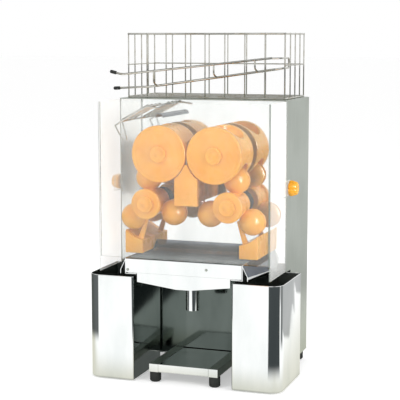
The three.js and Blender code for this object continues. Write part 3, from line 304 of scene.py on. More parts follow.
WELD_DISTANCE = 0.02  # points of a solid that lie closer than this are one
FLAT_ANGLE, CORNER_ANGLE, SMOOTH_ANGLE, NO_CREASE = 0.6, 30, 38, 180  # degrees
LARGEST_FACE = 4  # corners
LEAST_RADIUS = 0.05
WIRE_SIDES, BEAD_SIDES, BEAD_RINGS, BEND_STEPS = 14, 10, 7, 6
BEAD_POLE = 0.3  # radians left flat at either pole of a bead
DOME_SHARES = [(0.5, 0.35), (0.38, 0.75), (0, 1)]  # of a wire's radius, from its tip: distance, width
SKIN_ROUNDS, SKIN_PROBE, LEAST_SLOPE = 8, 0.05, 0.25  # of the steps that bring a skin onto its form


def settle(piece, nodes, slot=None, body=None):
    """Gives a piece its finish, its body and the nodes that it stands for."""
    slot = slot or SLOT_OF[nodes[0]]
    if not piece.data.materials:
        piece.data.materials.append(finishes[slot])
    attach(piece, body or BODY_OF[nodes[0]])
    if nodes:
        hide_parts(*nodes)
    return piece


def shaded(mesh, sharp_angle=SMOOTH_ANGLE):
    mesh.polygons.foreach_set("use_smooth", [True] * len(mesh.polygons))
    mesh.set_sharp_from_angle(angle=radians(sharp_angle))
    mesh.update()


def piece_of(name, points, faces, sharp_angle=SMOOTH_ANGLE):
    mesh = bpy.data.meshes.new(name)
    places = [tuple(c * MM for c in point) for point in points]
    mesh.from_pydata(places, [], [tuple(face) for face in faces])
    mesh.validate()
    shaded(mesh, sharp_angle)
    piece = bpy.data.objects.new(name, mesh)
    bpy.context.scene.collection.objects.link(piece)
    return piece


def eased(node, radius, name=None):
    """The node's own form with its sharp corners rounded by the radius."""
    form = bmesh.new()
    form.from_mesh(frame["nodes"][node].data)
    bmesh.ops.remove_doubles(form, verts=form.verts, dist=WELD_DISTANCE * MM)
    bmesh.ops.dissolve_limit(form, angle_limit=radians(FLAT_ANGLE), verts=form.verts, edges=form.edges)
    folds = [edge for edge in form.edges if len(edge.link_faces) == 2]
    corners = [edge for edge in folds if edge.calc_face_angle(0) > radians(CORNER_ANGLE)]
    bmesh.ops.bevel(
        form, geom=corners, offset=radius * MM, offset_type="OFFSET", segments=2,
        profile=0.5, affect="EDGES", clamp_overlap=True, loop_slide=True,
    )
    bmesh.ops.triangulate(form, faces=[f for f in form.faces if len(f.verts) > LARGEST_FACE])
    mesh = bpy.data.meshes.new(name or node)
    form.to_mesh(mesh)
    form.free()
    shaded(mesh)
    piece = bpy.data.objects.new(name or node + "_sheet", mesh)
    bpy.context.scene.collection.objects.link(piece)
    flats = piece.modifiers.new("flats", "WEIGHTED_NORMAL")
    flats.keep_sharp = True
    flats.weight = 100
    bpy.context.view_layer.update()
    graph = bpy.context.evaluated_depsgraph_get()
    piece.data = bpy.data.meshes.new_from_object(piece.evaluated_get(graph), depsgraph=graph)
    piece.modifiers.clear()
    return settle(piece, [node])


def added_finish(piece, name, chosen):
    """Gives one more finish to the faces chosen."""
    piece.data.materials.append(finishes[name])
    for face in piece.data.polygons:
        if chosen(face):
            face.material_index = len(piece.data.materials) - 1


def lofted(rings):
    """Points and faces through rings of equally many points, capped at both ends."""
    count, last = len(rings[0]), len(rings) - 1
    faces = [
        (i * count + k, i * count + (k + 1) % count,
         (i + 1) * count + (k + 1) % count, (i + 1) * count + k)
        for i in range(last) for k in range(count)
    ]
    faces += [tuple(range(count))[::-1], tuple(range(last * count, (last + 1) * count))]
    return [point for ring in rings for point in ring], faces


def together(parts):
    """Several sets of points and faces as one."""
    points, faces = [], []
    for some_points, some_faces in parts:
        faces += [tuple(i + len(points) for i in face) for face in some_faces]
        points += some_points
    return points, faces


def ring_round(middle, way, across, radius, sides, share=1):
    """A circle round a place on a path that runs that way."""
    other = way.cross(across)
    return [
        tuple(middle + (across * cos(t) + other * sin(t)) * radius * share) for t in round_angles(sides)
    ]


def rod(places, radius):
    """A round wire along the places, with a domed end at each."""
    path = [Vector(place) for place in places]
    ahead = [(b - a).normalized() for a, b in zip(path, path[1:])]
    along = [ahead[0], *[(a + b).normalized() for a, b in zip(ahead, ahead[1:])], ahead[-1]]
    across = along[0].orthogonal().normalized()
    rings = []
    for i, (place, way) in enumerate(zip(path, along)):
        across = (across - way * across.dot(way)).normalized()
        stations = DOME_SHARES[-1:]
        if i == 0:
            stations = [(-out, share) for out, share in DOME_SHARES]
        elif i == len(path) - 1:
            stations = DOME_SHARES[::-1]
        rings += [
            ring_round(place + way * out * radius, way, across, radius, WIRE_SIDES, share)
            for out, share in stations
        ]
    return lofted(rings)


def bent(places, bend):
    """The places with each corner rounded over the bend length."""
    path = [Vector(place) for place in places]
    rounded = [path[0]]
    for before, corner, after in zip(path, path[1:], path[2:]):
        start = corner + (before - corner).normalized() * bend
        end = corner + (after - corner).normalized() * bend
        rounded += [
            start * (1 - t) ** 2 + corner * 2 * t * (1 - t) + end * t * t for t in span(BEND_STEPS, 0, 1)
        ]
    return [tuple(place) for place in [*rounded, path[-1]]]


def bead(place, radius):
    """A small blob of weld where two wires meet."""
    x, y, z = place
    heights = span(BEAD_RINGS, -pi / 2 + BEAD_POLE, pi / 2 - BEAD_POLE)
    profile = [(radius * cos(t), radius * sin(t)) for t in heights]
    return lofted([
        [(x + out * cos(t), y + out * sin(t), z + up) for t in round_angles(BEAD_SIDES)]
        for out, up in profile
    ])


def turned(profile, centre, axis="y", sides=64, lobes=None):
    """A turned form: the profile's points are (radius, place along the axis). Lobes narrow it."""
    rings = []
    for radius, place in profile:
        ring = []
        for t in round_angles(sides):
            here = max(radius, LEAST_RADIUS) * (1 - (lobes(t, radius) if lobes else 0))
            u, v = here * cos(t), here * sin(t)
            ring.append({
                "x": (centre[0] + place, centre[1] + u, centre[2] + v),
                "y": (centre[0] + v, centre[1] + place, centre[2] + u),
                "z": (centre[0] + u, centre[1] + v, centre[2] + place),
            }[axis])
        rings.append(ring)
    points, faces = lofted(rings)
    rises = profile[-1][1] > profile[0][1]
    return points, (faces if rises else [face[::-1] for face in faces])


def carved(name, inside, low, high, step, nodes):
    """A smooth skin round all the places where the field is below zero."""
    axes = [np.arange(a, b + step, step) for a, b in zip(low, high)]
    filled = inside(np.stack(np.meshgrid(*axes, indexing="ij"), -1)) < 0
    wide, deep, tall = [size - 1 for size in filled.shape]
    corners = sum(
        filled[i:wide + i, j:deep + j, k:tall + k].astype(int)
        for i in (0, 1) for j in (0, 1) for k in (0, 1)
    )
    crossed = (corners > 0) & (corners < 8)
    number = np.full(crossed.shape, -1)
    number[crossed] = np.arange(crossed.sum())
    places = low + (np.argwhere(crossed) + 0.5) * step
    faces = []
    for axis in range(3):
        a, b = [other for other in range(3) if other != axis]
        here = np.moveaxis(filled, (axis, a, b), (0, 1, 2))
        cells = np.moveaxis(number, (axis, a, b), (0, 1, 2))
        change = here[1:, 1:-1, 1:-1].astype(int) - here[:-1, 1:-1, 1:-1]
        for sign in (1, -1):
            i, j, k = np.nonzero(change == sign)
            loop = [cells[i, j, k], cells[i, j + 1, k], cells[i, j + 1, k + 1], cells[i, j, k + 1]]
            turns = (sign > 0) == (axis == 1)
            faces.append(np.stack(loop if turns else loop[::-1], -1))
    for _ in range(SKIN_ROUNDS):
        slope = np.stack([
            inside(places + SKIN_PROBE * unit) - inside(places - SKIN_PROBE * unit) for unit in np.eye(3)
        ], -1) / (2 * SKIN_PROBE)
        places -= (inside(places) / np.maximum((slope ** 2).sum(-1), LEAST_SLOPE))[:, None] * slope
    piece = piece_of(name, places.tolist(), np.concatenate(faces).tolist(), NO_CREASE)
    return settle(piece, nodes)


def filleted(first, second, radius):
    """The overlap of two fields, its edge rounded."""
    close = np.maximum(radius - np.abs(first - second), 0) / radius
    return np.maximum(first, second) + close ** 2 * radius / 4


def merged(first, second, radius):
    """Two fields joined, the corner between them filled."""
    return -filleted(-first, -second, radius)


# Press train: drums above, ball presses below, one of each on either side

UPPER_X, UPPER_Z = 66, 525
AXIS_DISTANCE, AXIS_OFFSET = 120, 32
LOWER_X, LOWER_Z = UPPER_X + AXIS_OFFSET, UPPER_Z - sqrt(AXIS_DISTANCE ** 2 - AXIS_OFFSET ** 2)
DRUM_FRONT, DRUM_BACK = -142, -46
PRESS_MIDDLE, HALF_LENGTH = (DRUM_FRONT + DRUM_BACK) / 2, (DRUM_BACK - DRUM_FRONT) / 2
REST_TURN = radians(-23.5)
DRUM_RADIUS, CUP_RADIUS, CUP_ORBIT, CUP_EASE = 64.8, 36, 62, 2.4
GROOVE_RADIUS, GROOVE_HALF, GROOVE_DEPTH, GROOVE_EASE = 57, 0.9, 0.7, 0.6
BALL_RADIUS, BALL_ORBIT, BALL_FILLET = 30.5, 58, 3
FLANGE_RADIUS, FLANGE_LENGTH, FLANGE_FILLET = 35, 12, 1.5
CORE_RADIUS, CORE_START, SPINDLE_RADIUS, SPINDLE_FILLET = 31, 6, 16.3, 2
SLOT_RADIUS, SLOT_HALF, SLOT_EASE = 34, 4, 1.2
END_EASE = 3
FULL_STEPS, QUICK_STEPS = (2, 1.9), (4, 4)  # of the grids that carve a drum and a ball press
NUT_FRONT = -150
NUT_PROFILE = [  # eased rim, shallow dish and raised middle
    (8.3, DRUM_FRONT + 0.5), (18.4, DRUM_FRONT), (19.2, DRUM_FRONT - 0.6), (19.5, DRUM_FRONT - 1.4),
    (19.5, NUT_FRONT + 2.2), (19.0, NUT_FRONT + 0.8), (17.6, NUT_FRONT), (15.2, NUT_FRONT),
    (14.4, NUT_FRONT + 0.5), (13.4, NUT_FRONT + 1.1), (7.2, NUT_FRONT + 1.2), (6.2, NUT_FRONT + 0.6),
    (5.4, NUT_FRONT + 0.1), (0, NUT_FRONT),
]


def stations(first, orbit):
    """The three places round an axis, the first at the angle given."""
    angles = [first + i * 2 * pi / 3 for i in range(3)]
    return [np.array([orbit * cos(angle), PRESS_MIDDLE, orbit * sin(angle)]) for angle in angles]


def from_axis(places):
    return np.hypot(places[..., 0], places[..., 2])


def slab_of(places, radius, front, back):
    """A round slab along Y with its corners eased."""
    ends = np.maximum(front - places[..., 1], places[..., 1] - back)
    return filleted(from_axis(places) - radius, ends, END_EASE)


def drum_form(side, line):
    cups = stations(line - side * REST_TURN, CUP_ORBIT)

    def field(places):
        places = places - np.array([side * UPPER_X, 0, UPPER_Z])
        form = slab_of(places, DRUM_RADIUS, DRUM_FRONT, DRUM_BACK)
        for cup in cups:
            form = filleted(form, CUP_RADIUS - np.linalg.norm(places - cup, axis=-1), CUP_EASE)
        ring = np.abs(from_axis(places) - GROOVE_RADIUS) - GROOVE_HALF
        groove = np.maximum(ring, places[..., 1] - (DRUM_FRONT + GROOVE_DEPTH))
        return filleted(form, -groove, GROOVE_EASE)

    return field


def ball_press_form(side, line):
    balls = stations(line + pi + side * REST_TURN, BALL_ORBIT)

    def field(places):
        places = places - np.array([side * LOWER_X, 0, LOWER_Z])
        flange = slab_of(places, FLANGE_RADIUS, DRUM_FRONT, DRUM_FRONT + FLANGE_LENGTH)
        core = slab_of(places, CORE_RADIUS, DRUM_FRONT + CORE_START, PRESS_MIDDLE + BALL_RADIUS)
        spindle = slab_of(places, SPINDLE_RADIUS, PRESS_MIDDLE, DRUM_BACK)
        form = merged(merged(flange, core, FLANGE_FILLET), spindle, SPINDLE_FILLET)
        for ball in balls:
            form = merged(form, np.linalg.norm(places - ball, axis=-1) - BALL_RADIUS, BALL_FILLET)
        beside = np.abs(places[..., 1] - PRESS_MIDDLE) - SLOT_HALF
        slot = np.maximum(SLOT_RADIUS - from_axis(places), beside)
        return filleted(form, -slot, SLOT_EASE)

    return field


def make_press_train():
    drum_step, press_step = FULL_STEPS
    for side, word in SIDES.items():
        line = atan2(LOWER_Z - UPPER_Z, side * AXIS_OFFSET)
        for kind, form, x, z, radius, step in (
            ("drum", drum_form, UPPER_X, UPPER_Z, DRUM_RADIUS, drum_step),
            ("ball_press", ball_press_form, LOWER_X, LOWER_Z, BALL_ORBIT + BALL_RADIUS, press_step),
        ):
            middle = np.array([side * x, PRESS_MIDDLE, z])
            reach = np.array([radius, HALF_LENGTH, radius]) + 2 * step
            name, node = f"{kind}_skin_{word}", f"{kind}_{word}"
            carved(name, form(side, line), middle - reach, middle + reach, step, [node])
        for kind, x, z in (("drum", UPPER_X, UPPER_Z), ("press", LOWER_X, LOWER_Z)):
            nut = piece_of(f"{kind}_nut_{word}_turned", *turned(NUT_PROFILE, (side * x, 0, z)))
            settle(nut, [f"{kind}_nut_{word}"])


# Wire goods

FRAME_WIRE, THIN_WIRE, LANE_WIRE = 2, 1.5, 2.5
WIRE_CREASE = 50  # degrees
HOPPER_HALF, HOPPER_FRONT, HOPPER_BACK = 193, -8, 163
HOPPER_LOW, HOPPER_MIDDLE, HOPPER_HIGH = 647.3, 723, 795
HOPPER_BEND, CORNER_STEP = 5, 1
FRONT_WIRES, SIDE_WIRES, FLOOR_WIRES = 9, 5, 7  # with the two at the ends
RING_BEAD, BELT_BEAD, FLOOR_BEAD = 2.35, 1.9, 2.3


def wirework(name, runs, beads, nodes):
    parts = [rod(places, radius) for places, radius in runs]
    parts += [bead(place, radius) for place, radius in beads]
    return settle(piece_of(name, *together(parts), WIRE_CREASE), nodes)


def make_hopper():
    x, front, back = HOPPER_HALF, HOPPER_FRONT, HOPPER_BACK
    low, middle, high = HOPPER_LOW, HOPPER_MIDDLE, HOPPER_HIGH
    runs, beads = [], []
    for z in (low, high):
        ring = [(0, front, z), (x, front, z), (x, back, z), (-x, back, z), (-x, front, z), (0, front, z)]
        runs.append((bent(ring, HOPPER_BEND), FRAME_WIRE))
    start = front + CORNER_STEP
    belt = [(-x, start, middle), (-x, back, middle), (x, back, middle), (x, start, middle)]
    runs.append(([(-x, front, middle), *bent(belt, HOPPER_BEND), (x, front, middle)], THIN_WIRE))
    columns = [(px, y) for px in span(FRONT_WIRES, -x, x)[1:-1] for y in (front, back)]
    columns += [(side * x, y) for side in SIDES for y in span(SIDE_WIRES, front, back)[1:-1]]
    columns += [
        (side * (x - CORNER_STEP), y) for side in SIDES for y in (front + CORNER_STEP, back - CORNER_STEP)
    ]
    for px, py in columns:
        runs.append(([(px, py, low), (px, py, high)], THIN_WIRE))
        beads += [((px, py, z), RING_BEAD) for z in (low, high)]
        if py != front:
            beads.append(((px, py, middle), BELT_BEAD))
    for py in span(FLOOR_WIRES, front, back)[1:-1]:
        runs.append(([(-x, py, low), (x, py, low)], THIN_WIRE))
        beads += [((side * x, py, low), FLOOR_BEAD) for side in SIDES]
    wirework("hopper_wires", runs, beads, ["hopper_basket"])


GUARD_Y, FRONT_RAIL_Y, BACK_RAIL_Y = -88, -68, -30
GUARD_LEFT, GUARD_RIGHT = (-175, 702), (184, 741)
RAIL_LEFT, RAIL_RIGHT = (-112, 674), (186, 716)
GUARD_END, RAIL_END = (-205, GUARD_Y, 709), (-205, FRONT_RAIL_Y, 669)
CLASP_X, CLASP_RISE, CLASP_LAP = 207, 22, 8
CRADLES, CRADLE_RISE, CRADLE_GAP = (-96.5, 48.25, 144.75), 8, 0.3
LANE_BEND, CLASP_BEND, CRADLE_BEND, LANE_BEAD = 8, 6, 5, 3.1
TIP_LENGTH, TIP_SIDES = 16, 20
TIP_PROFILE = [  # place along the wire and radius
    (0.2, 1.2), (0.6, 2.6), (1.8, 3.7), (3.4, 4), (15, 4), (15.7, 3.8), (16, 3.2), (15.8, 2.8), (9, 2.8),
]


def on_line(start, end, x):
    return start[1] + (end[1] - start[1]) * (x - start[0]) / (end[0] - start[0])


def make_feed_lane():
    """Two rails and a guard in front of them, joined by the clasp at the right and by the cradles."""
    def rail(x):
        return on_line(RAIL_LEFT, RAIL_RIGHT, x)

    def guard(x):
        return on_line(GUARD_LEFT, GUARD_RIGHT, x)

    def before(end, corner):
        way = Vector(corner) - Vector(end)
        return tuple(Vector(end) + way.normalized() * TIP_LENGTH / 2)

    guard_corner = (GUARD_LEFT[0], GUARD_Y, GUARD_LEFT[1])
    rail_corner = (RAIL_LEFT[0], FRONT_RAIL_Y, RAIL_LEFT[1])
    guard_right = (GUARD_RIGHT[0], GUARD_Y, GUARD_RIGHT[1])
    front_right = (RAIL_RIGHT[0], FRONT_RAIL_Y, RAIL_RIGHT[1])
    back_right = (RAIL_RIGHT[0], BACK_RAIL_Y, RAIL_RIGHT[1])
    low, top = rail(CLASP_X), rail(CLASP_X) + CLASP_RISE
    guard_lap, rail_lap = GUARD_RIGHT[0] - CLASP_LAP, RAIL_RIGHT[0] - CLASP_LAP
    runs = [
        (bent([before(GUARD_END, guard_corner), guard_corner, guard_right], LANE_BEND), LANE_WIRE),
        (bent([before(RAIL_END, rail_corner), rail_corner, front_right], LANE_BEND), LANE_WIRE),
        ([(RAIL_LEFT[0], BACK_RAIL_Y, RAIL_LEFT[1]), back_right], LANE_WIRE),
        (bent([
            (guard_lap, GUARD_Y, guard(guard_lap)), (CLASP_X, GUARD_Y, top), (CLASP_X, BACK_RAIL_Y, top),
            (CLASP_X, BACK_RAIL_Y, low), (CLASP_X, FRONT_RAIL_Y, low),
            (rail_lap, FRONT_RAIL_Y, rail(rail_lap)),
        ], CLASP_BEND), FRAME_WIRE),
        ([back_right, (CLASP_X, BACK_RAIL_Y, low)], FRAME_WIRE),
    ]
    beads = []
    for x in CRADLES:
        runs.append((bent([
            (x, HOPPER_FRONT - THIN_WIRE - CRADLE_GAP, rail(x)), (x, FRONT_RAIL_Y, rail(x)),
            (x, GUARD_Y, rail(x) + CRADLE_RISE), (x, GUARD_Y, guard(x)),
        ], CRADLE_BEND), FRAME_WIRE))
        for y, z in ((BACK_RAIL_Y, rail(x)), (FRONT_RAIL_Y, rail(x)), (GUARD_Y, guard(x))):
            beads.append(((x, y, z), LANE_BEAD))
    wirework("feed_lane_wires", runs, beads, ["feed_lane"])
    for node, end, corner in (
        ("guard_tip", GUARD_END, guard_corner), ("rail_tip", RAIL_END, rail_corner),
    ):
        way = (Vector(corner) - Vector(end)).normalized()
        across = way.orthogonal().normalized()
        rings = [
            ring_round(Vector(end) + way * along, way, across, radius, TIP_SIDES)
            for along, radius in TIP_PROFILE
        ]
        settle(piece_of(node + "_cap", *lofted(rings)), [node])


SLIDE_FRONT, SLIDE_BACK, PLATE_FRONT = -138, -60, -31
SLIDE_TOP, SLIDE_FOOT, SLIDE_HOOK_X, SLIDE_TOE = (-92, 632), (-155, 598), -62, (-172, 587)
SLIDE_WIRES, SLIDE_BEAD, SLIDE_SEAT = 4, 3, 0.5
LOOP_LOW, LOOP_STEP, LOOP_BEND, SLIDE_BEND = 556, 8, 5, 6


def make_feed_slide():
    (top_x, top_z), (foot_x, foot_z) = SLIDE_TOP, SLIDE_FOOT
    above = FRAME_WIRE + LANE_WIRE / 2
    loop_x = foot_x + LOOP_STEP * (top_z - foot_z) / (top_x - foot_x) + LOOP_STEP
    ys = span(SLIDE_WIRES, SLIDE_FRONT + FRAME_WIRE, SLIDE_BACK)
    top, foot, toe = [(x, SLIDE_FRONT, z) for x, z in (SLIDE_TOP, SLIDE_FOOT, SLIDE_TOE)]
    hook = (SLIDE_HOOK_X, SLIDE_FRONT, top_z - 2 * FRAME_WIRE)
    loop_foot, loop_back = (foot_x, SLIDE_FRONT, LOOP_LOW), (loop_x, SLIDE_FRONT, LOOP_LOW)
    runs = [
        ([(x, SLIDE_FRONT, z), (x, PLATE_FRONT - SLIDE_SEAT, z)], LANE_WIRE)
        for x, z in (SLIDE_TOP, SLIDE_FOOT)
    ]
    runs += [([(foot_x, y, foot_z + above), (top_x, y, top_z + above)], FRAME_WIRE) for y in ys]
    runs.append((bent([hook, top, foot, toe], SLIDE_BEND), FRAME_WIRE))
    runs.append((bent([toe, loop_foot, loop_back, foot], LOOP_BEND), THIN_WIRE))
    beads = [((x, y, z + above / 2), SLIDE_BEAD) for x, z in (SLIDE_TOP, SLIDE_FOOT) for y in ys]
    wirework("feed_slide_wires", runs, beads, ["feed_slide"])


# Bins, knobs, feet, cover and screws

BIN_INNER, BIN_OUTER, BIN_FRONT, BIN_BACK = 118, 232, -170, 5.5
BIN_LOW, BIN_HIGH = 2.5, 245
BIN_ROUND, BIN_FOLD, BIN_CREASE = 30, 5, 30  # radii of the large and the small corners, and degrees
LEAST_CORNER, CORNER_POINTS = 0.4, 12
BIN_PROFILE = [  # inset and height, from the floor's rim up the outside and down the inside
    (2.2, BIN_LOW), (1.0, BIN_LOW + 0.25), (0.3, BIN_LOW + 0.9), (0, BIN_LOW + 2.0), (0, BIN_LOW + 3.2),
    (0, BIN_HIGH - 2.2), (0, BIN_HIGH - 0.9), (0.2, BIN_HIGH - 0.3), (0.75, BIN_HIGH),
    (1.3, BIN_HIGH - 0.3), (1.5, BIN_HIGH - 0.9), (1.5, BIN_HIGH - 2.2), (1.5, BIN_LOW + 5.2),
    (1.5, BIN_LOW + 4.0), (2.0, BIN_LOW + 2.4), (3.2, BIN_LOW + 1.6),
]
BIN_INSIDE_RING = 11  # the first ring of the profile that lies inside


def rounded_outline(x0, x1, y0, y1, radii, inset):
    """A rectangle with the radii given, from the low corner against the clock, moved in by the inset."""
    points = []
    corners = ((x0, y0, 1, 1), (x1, y0, -1, 1), (x1, y1, -1, -1), (x0, y1, 1, -1))
    for i, ((x, y, sx, sy), radius) in enumerate(zip(corners, radii)):
        keep = max(radius - inset, LEAST_CORNER)
        cx, cy = x + sx * (inset + keep), y + sy * (inset + keep)
        angles = span(CORNER_POINTS, (i + 2) * pi / 2, (i + 3) * pi / 2)
        points += [(cx + keep * cos(t), cy + keep * sin(t)) for t in angles]
    return points


def make_bins():
    for side, word in SIDES.items():
        x0, x1 = sorted((side * BIN_INNER, side * BIN_OUTER))
        radii = [BIN_FOLD] * 4
        radii[0 if side < 0 else 1] = BIN_ROUND
        rings = [
            [(x, y, z) for x, y in rounded_outline(x0, x1, BIN_FRONT, BIN_BACK, radii, inset)]
            for inset, z in BIN_PROFILE
        ]
        skin = piece_of("waste_bin_skin_" + word, *lofted(rings), BIN_CREASE)
        settle(skin, ["waste_bin_" + word])
        first_inside = BIN_INSIDE_RING * len(rings[0])
        # Painted shade: the faces inside the bin take the darker steel
        added_finish(skin, "bin_inside_painted_shade", lambda face: min(face.vertices) >= first_inside)


KNOB_PLACE, KNOB_SIDES = (209.6, -20, 445), 96
KNOB_PROFILE = [
    (4.3, 5), (4.5, 0.4), (8, 0), (16.6, 0), (17.6, 0.5), (18, 1.5), (18, 6.2), (17.6, 7.6), (14.8, 16.2),
    (13.6, 17.8), (11.8, 18.7), (10, 19), (8.6, 19), (8, 18.5), (7.2, 18.2), (0, 18.2),
]
GRIPS, GRIP_DEPTH, GRIP_POWER, GRIP_START = 6, 0.13, 1.5, 9.5


def grips(angle, radius):
    """How far, as a share of the radius, the knob's hollows cut in."""
    return GRIP_DEPTH * max(0.0, cos(GRIPS * angle)) ** GRIP_POWER if radius > GRIP_START else 0


def make_knobs():
    x, y, z = KNOB_PLACE
    for side, word in SIDES.items():
        profile = [(radius, side * place) for radius, place in KNOB_PROFILE]
        form = turned(profile, (side * x, y, z), "x", KNOB_SIDES, grips)
        settle(piece_of("cover_knob_skin_" + word, *form), ["cover_knob_" + word])


FOOT_SIDES = 48
FOOT_PROFILE = [
    (0, 0), (9.2, 0), (10.2, 0.3), (12.3, 2.2), (13, 3.4), (13, 7.2), (12.4, 7.8), (12.4, 8.6), (13, 9.2),
    (13, 22.8), (12.6, 23.6), (11.8, 24), (0, 24),
]
FOOT_PLACES = {
    "foot_front_left": (-72, -148, 0), "foot_front_right": (72, -148, 0),
    "foot_rear_left": (-187.5, 151, 0), "foot_rear_right": (187.5, 151, 0),
}


def make_feet():
    for node, place in FOOT_PLACES.items():
        settle(piece_of(node + "_turned", *turned(FOOT_PROFILE, place, "z", FOOT_SIDES)), [node])


COVER_EASE, EDGE_SLANT, BEND_SLANT = 0.7, 0.2, 0.6
LARGEST_EDGE_FACE = 0.0004  # square metres


def make_cover():
    """The clear panes, with painted shade at their cut edges and bent corners, and a painted highlight
    along the top.
    """
    def edge_or_corner(face):
        normal = face.normal
        cut = abs(normal.z) > EDGE_SLANT or (normal.y > EDGE_SLANT and face.area < LARGEST_EDGE_FACE)
        return cut or min(abs(normal.x), abs(normal.y)) > BEND_SLANT

    panes = eased("cover", COVER_EASE, name="cover_panes")
    # Painted shade on the cut edges and the bent corners
    added_finish(panes, "clear_edge_painted_shade", edge_or_corner)
    # A painted highlight on the faces that look up
    added_finish(panes, "clear_rim_painted_highlight", lambda face: face.normal.z > EDGE_SLANT)


SCREW_RADIUS, SCREW_HEIGHT, SCREW_SINK, SCREW_SINK_SHARE = 3.2, 1.3, 0.2, 0.96
SCREW_SHARES = [(1, 0), (1, 0.35), (0.86, 0.75), (0.5, 1), (0.28, 1), (0.22, 0.6), (0, 0.6)]
LIP_FRONT, SCREW_SIDES = -161.5, 24
LIP_SCREWS = {"left": (-134, 260), "right": (56, 270)}


def make_lip_screws():
    """Round heads, sunk a little into the lip, with a recess. Their shares go from the rim inwards."""
    profile = [(SCREW_RADIUS * SCREW_SINK_SHARE, SCREW_SINK)]
    profile += [(SCREW_RADIUS * wide, -SCREW_HEIGHT * high) for wide, high in SCREW_SHARES]
    for word, (x, z) in LIP_SCREWS.items():
        form = turned(profile, (x, LIP_FRONT, z), "y", SCREW_SIDES)
        settle(piece_of("lip_screw_" + word, *form), [], "brushed_steel", "strainer")


# Sheet pieces and mouldings that keep their solid's form: how far the corners are eased
EASES = {
    "base_frame": 0.5, "body_shell": 0.5, "front_plate": 0.4, "bay_panel": 0.4, "back_panel": 0.3,
    "peel_stripper_left": 1.2, "peel_stripper_right": 1.2,
    "peel_chute_left": 0.4, "peel_chute_right": 0.4, "bin_hanger_left": 0.6, "bin_hanger_right": 0.6,
    "wedge": 1.0, "knife": 0.2, "splash_plate": 0.4, "strainer_tray": 0.4, "collector_tray": 0.4,
    "drip_tray": 0.35, "stand_plate": 0.5, "feed_deflector": 0.4,
    "power_module": 0.5, "power_rocker": 0.5, "drum_bearing_left": 0.6, "drum_bearing_right": 0.6,
    "press_bearing_left": 0.6, "press_bearing_right": 0.6,
}
CHUTE_OUTSIDE = ("polished_steel", lambda face: face.normal.z < 0.2)
SECOND_FINISHES = {
    "base_frame": ("polished_steel", lambda face: face.normal.y < -0.9),
    # The wedge's faces towards the back take the darker steel: painted shade
    "wedge": ("dark_steel", lambda face: face.normal.y > 0.8),
    # The strainer tray's faces that look up take the darker steel: painted shade under the press
    "strainer_tray": ("dark_steel", lambda face: face.normal.z > 0.8),
    "peel_chute_left": CHUTE_OUTSIDE,
    "peel_chute_right": CHUTE_OUTSIDE,
}

make_press_train()
make_hopper()
make_feed_lane()
make_feed_slide()
make_bins()
make_knobs()
make_feet()
make_cover()
make_lip_screws()
for node, radius in EASES.items():
    sheet = eased(node, radius)
    # The bay panel takes the darker copy of the steel: painted shade and painted reflection
    if node == "bay_panel":
        sheet.data.materials[0] = finishes["bay_steel_painted_shade"]
    elif node in SECOND_FINISHES:
        added_finish(sheet, *SECOND_FINISHES[node])
for node, part in frame["nodes"].items():
    if not part.hide_render:
        part.data.materials.clear()
        part.data.materials.append(finishes[SLOT_OF[node]])


# Studio, in metres and degrees

CAMERA_PLACE, CAMERA_TILT, CAMERA_TURN = (0.9285, -2.6947, 0.7861), 82.4, 19.3
FOCAL_PIXELS, PICTURE_PIXELS, SENSOR_WIDTH = 1217.3, 400, 36
FOOT_SIDE, FOOT_FRONT = BIN_OUTER * MM, BIN_FRONT * MM

# What the polished faces see on the floor: a point, the headings from it between which the floor is dark,
# the distances between which it is, how dark, and how soft the headings end. A heading counts from -Y
# towards +X. The two eyes are the camera's place mirrored in the press plate and in the right bin's side.
RIGHT_CORNER, LEFT_CORNER = (0.202, -0.14), (-0.202, -0.14)
FRONT_EYE = (CAMERA_PLACE[0], 2 * PLATE_FRONT * MM - CAMERA_PLACE[1])
SIDE_EYE = (2 * FOOT_SIDE - CAMERA_PLACE[0], CAMERA_PLACE[1])
FLOOR_SIZE, FLOOR_DROP = 90, 0.0005
DARK_SECTORS = [
    (RIGHT_CORNER, -6, 92, 0.2, FLOOR_SIZE, 0.99, 2),
    (RIGHT_CORNER, 103, 128, 0.45, FLOOR_SIZE, 0.85, 2),
    (LEFT_CORNER, -160, -34, 0.42, FLOOR_SIZE, 0.93, 2),
    (FRONT_EYE, -36, -22.0, 6.1, 9.6, 0.99, 0.35),
]
SECTOR_SOFT = 0.08
SHADE_X, SHADE_Y, SHADE_SOFT, SHADE_DEPTH = 0.22, 0.17, 0.03, 0.93  # under the machine
# The grey on the right side, by bearing and distance from the side's eye: how deep it is in the bin and
# in the body, the distances over which that changes, and the steps of its lower edge.
SIDE_DEPTHS, SIDE_CHANGE = (0.58, 0.36), (4.0, 4.3)
SIDE_BEARINGS, SIDE_SOFT, STEP_SOFT = (2, 50), 1, 0.07
SIDE_STEPS = [(14.2, 3.69), (14.46, 3.88), (14.54, 3.4), (14.83, 3.55), (15.25, 3.12)]
WHITE, BLACK = (1, 1, 1, 1), (0, 0, 0, 1)
PAPER, CREAM, INK = (1.2, 1.2, 1.2, 1), (0.78, 0.77, 0.66, 1), (0.024, 0.034, 0.037, 1)
# Only the metal sees the floor cream near the bins: a painted warm reflection in the bins' lower part
CREAM_START, CREAM_END = -0.04, 0.24  # from the foot of the bins outwards
FLOOR_GREY, FLOOR_GLOW = (0.86, 0.86, 0.86, 1), (0.42, 0.42, 0.42, 1)


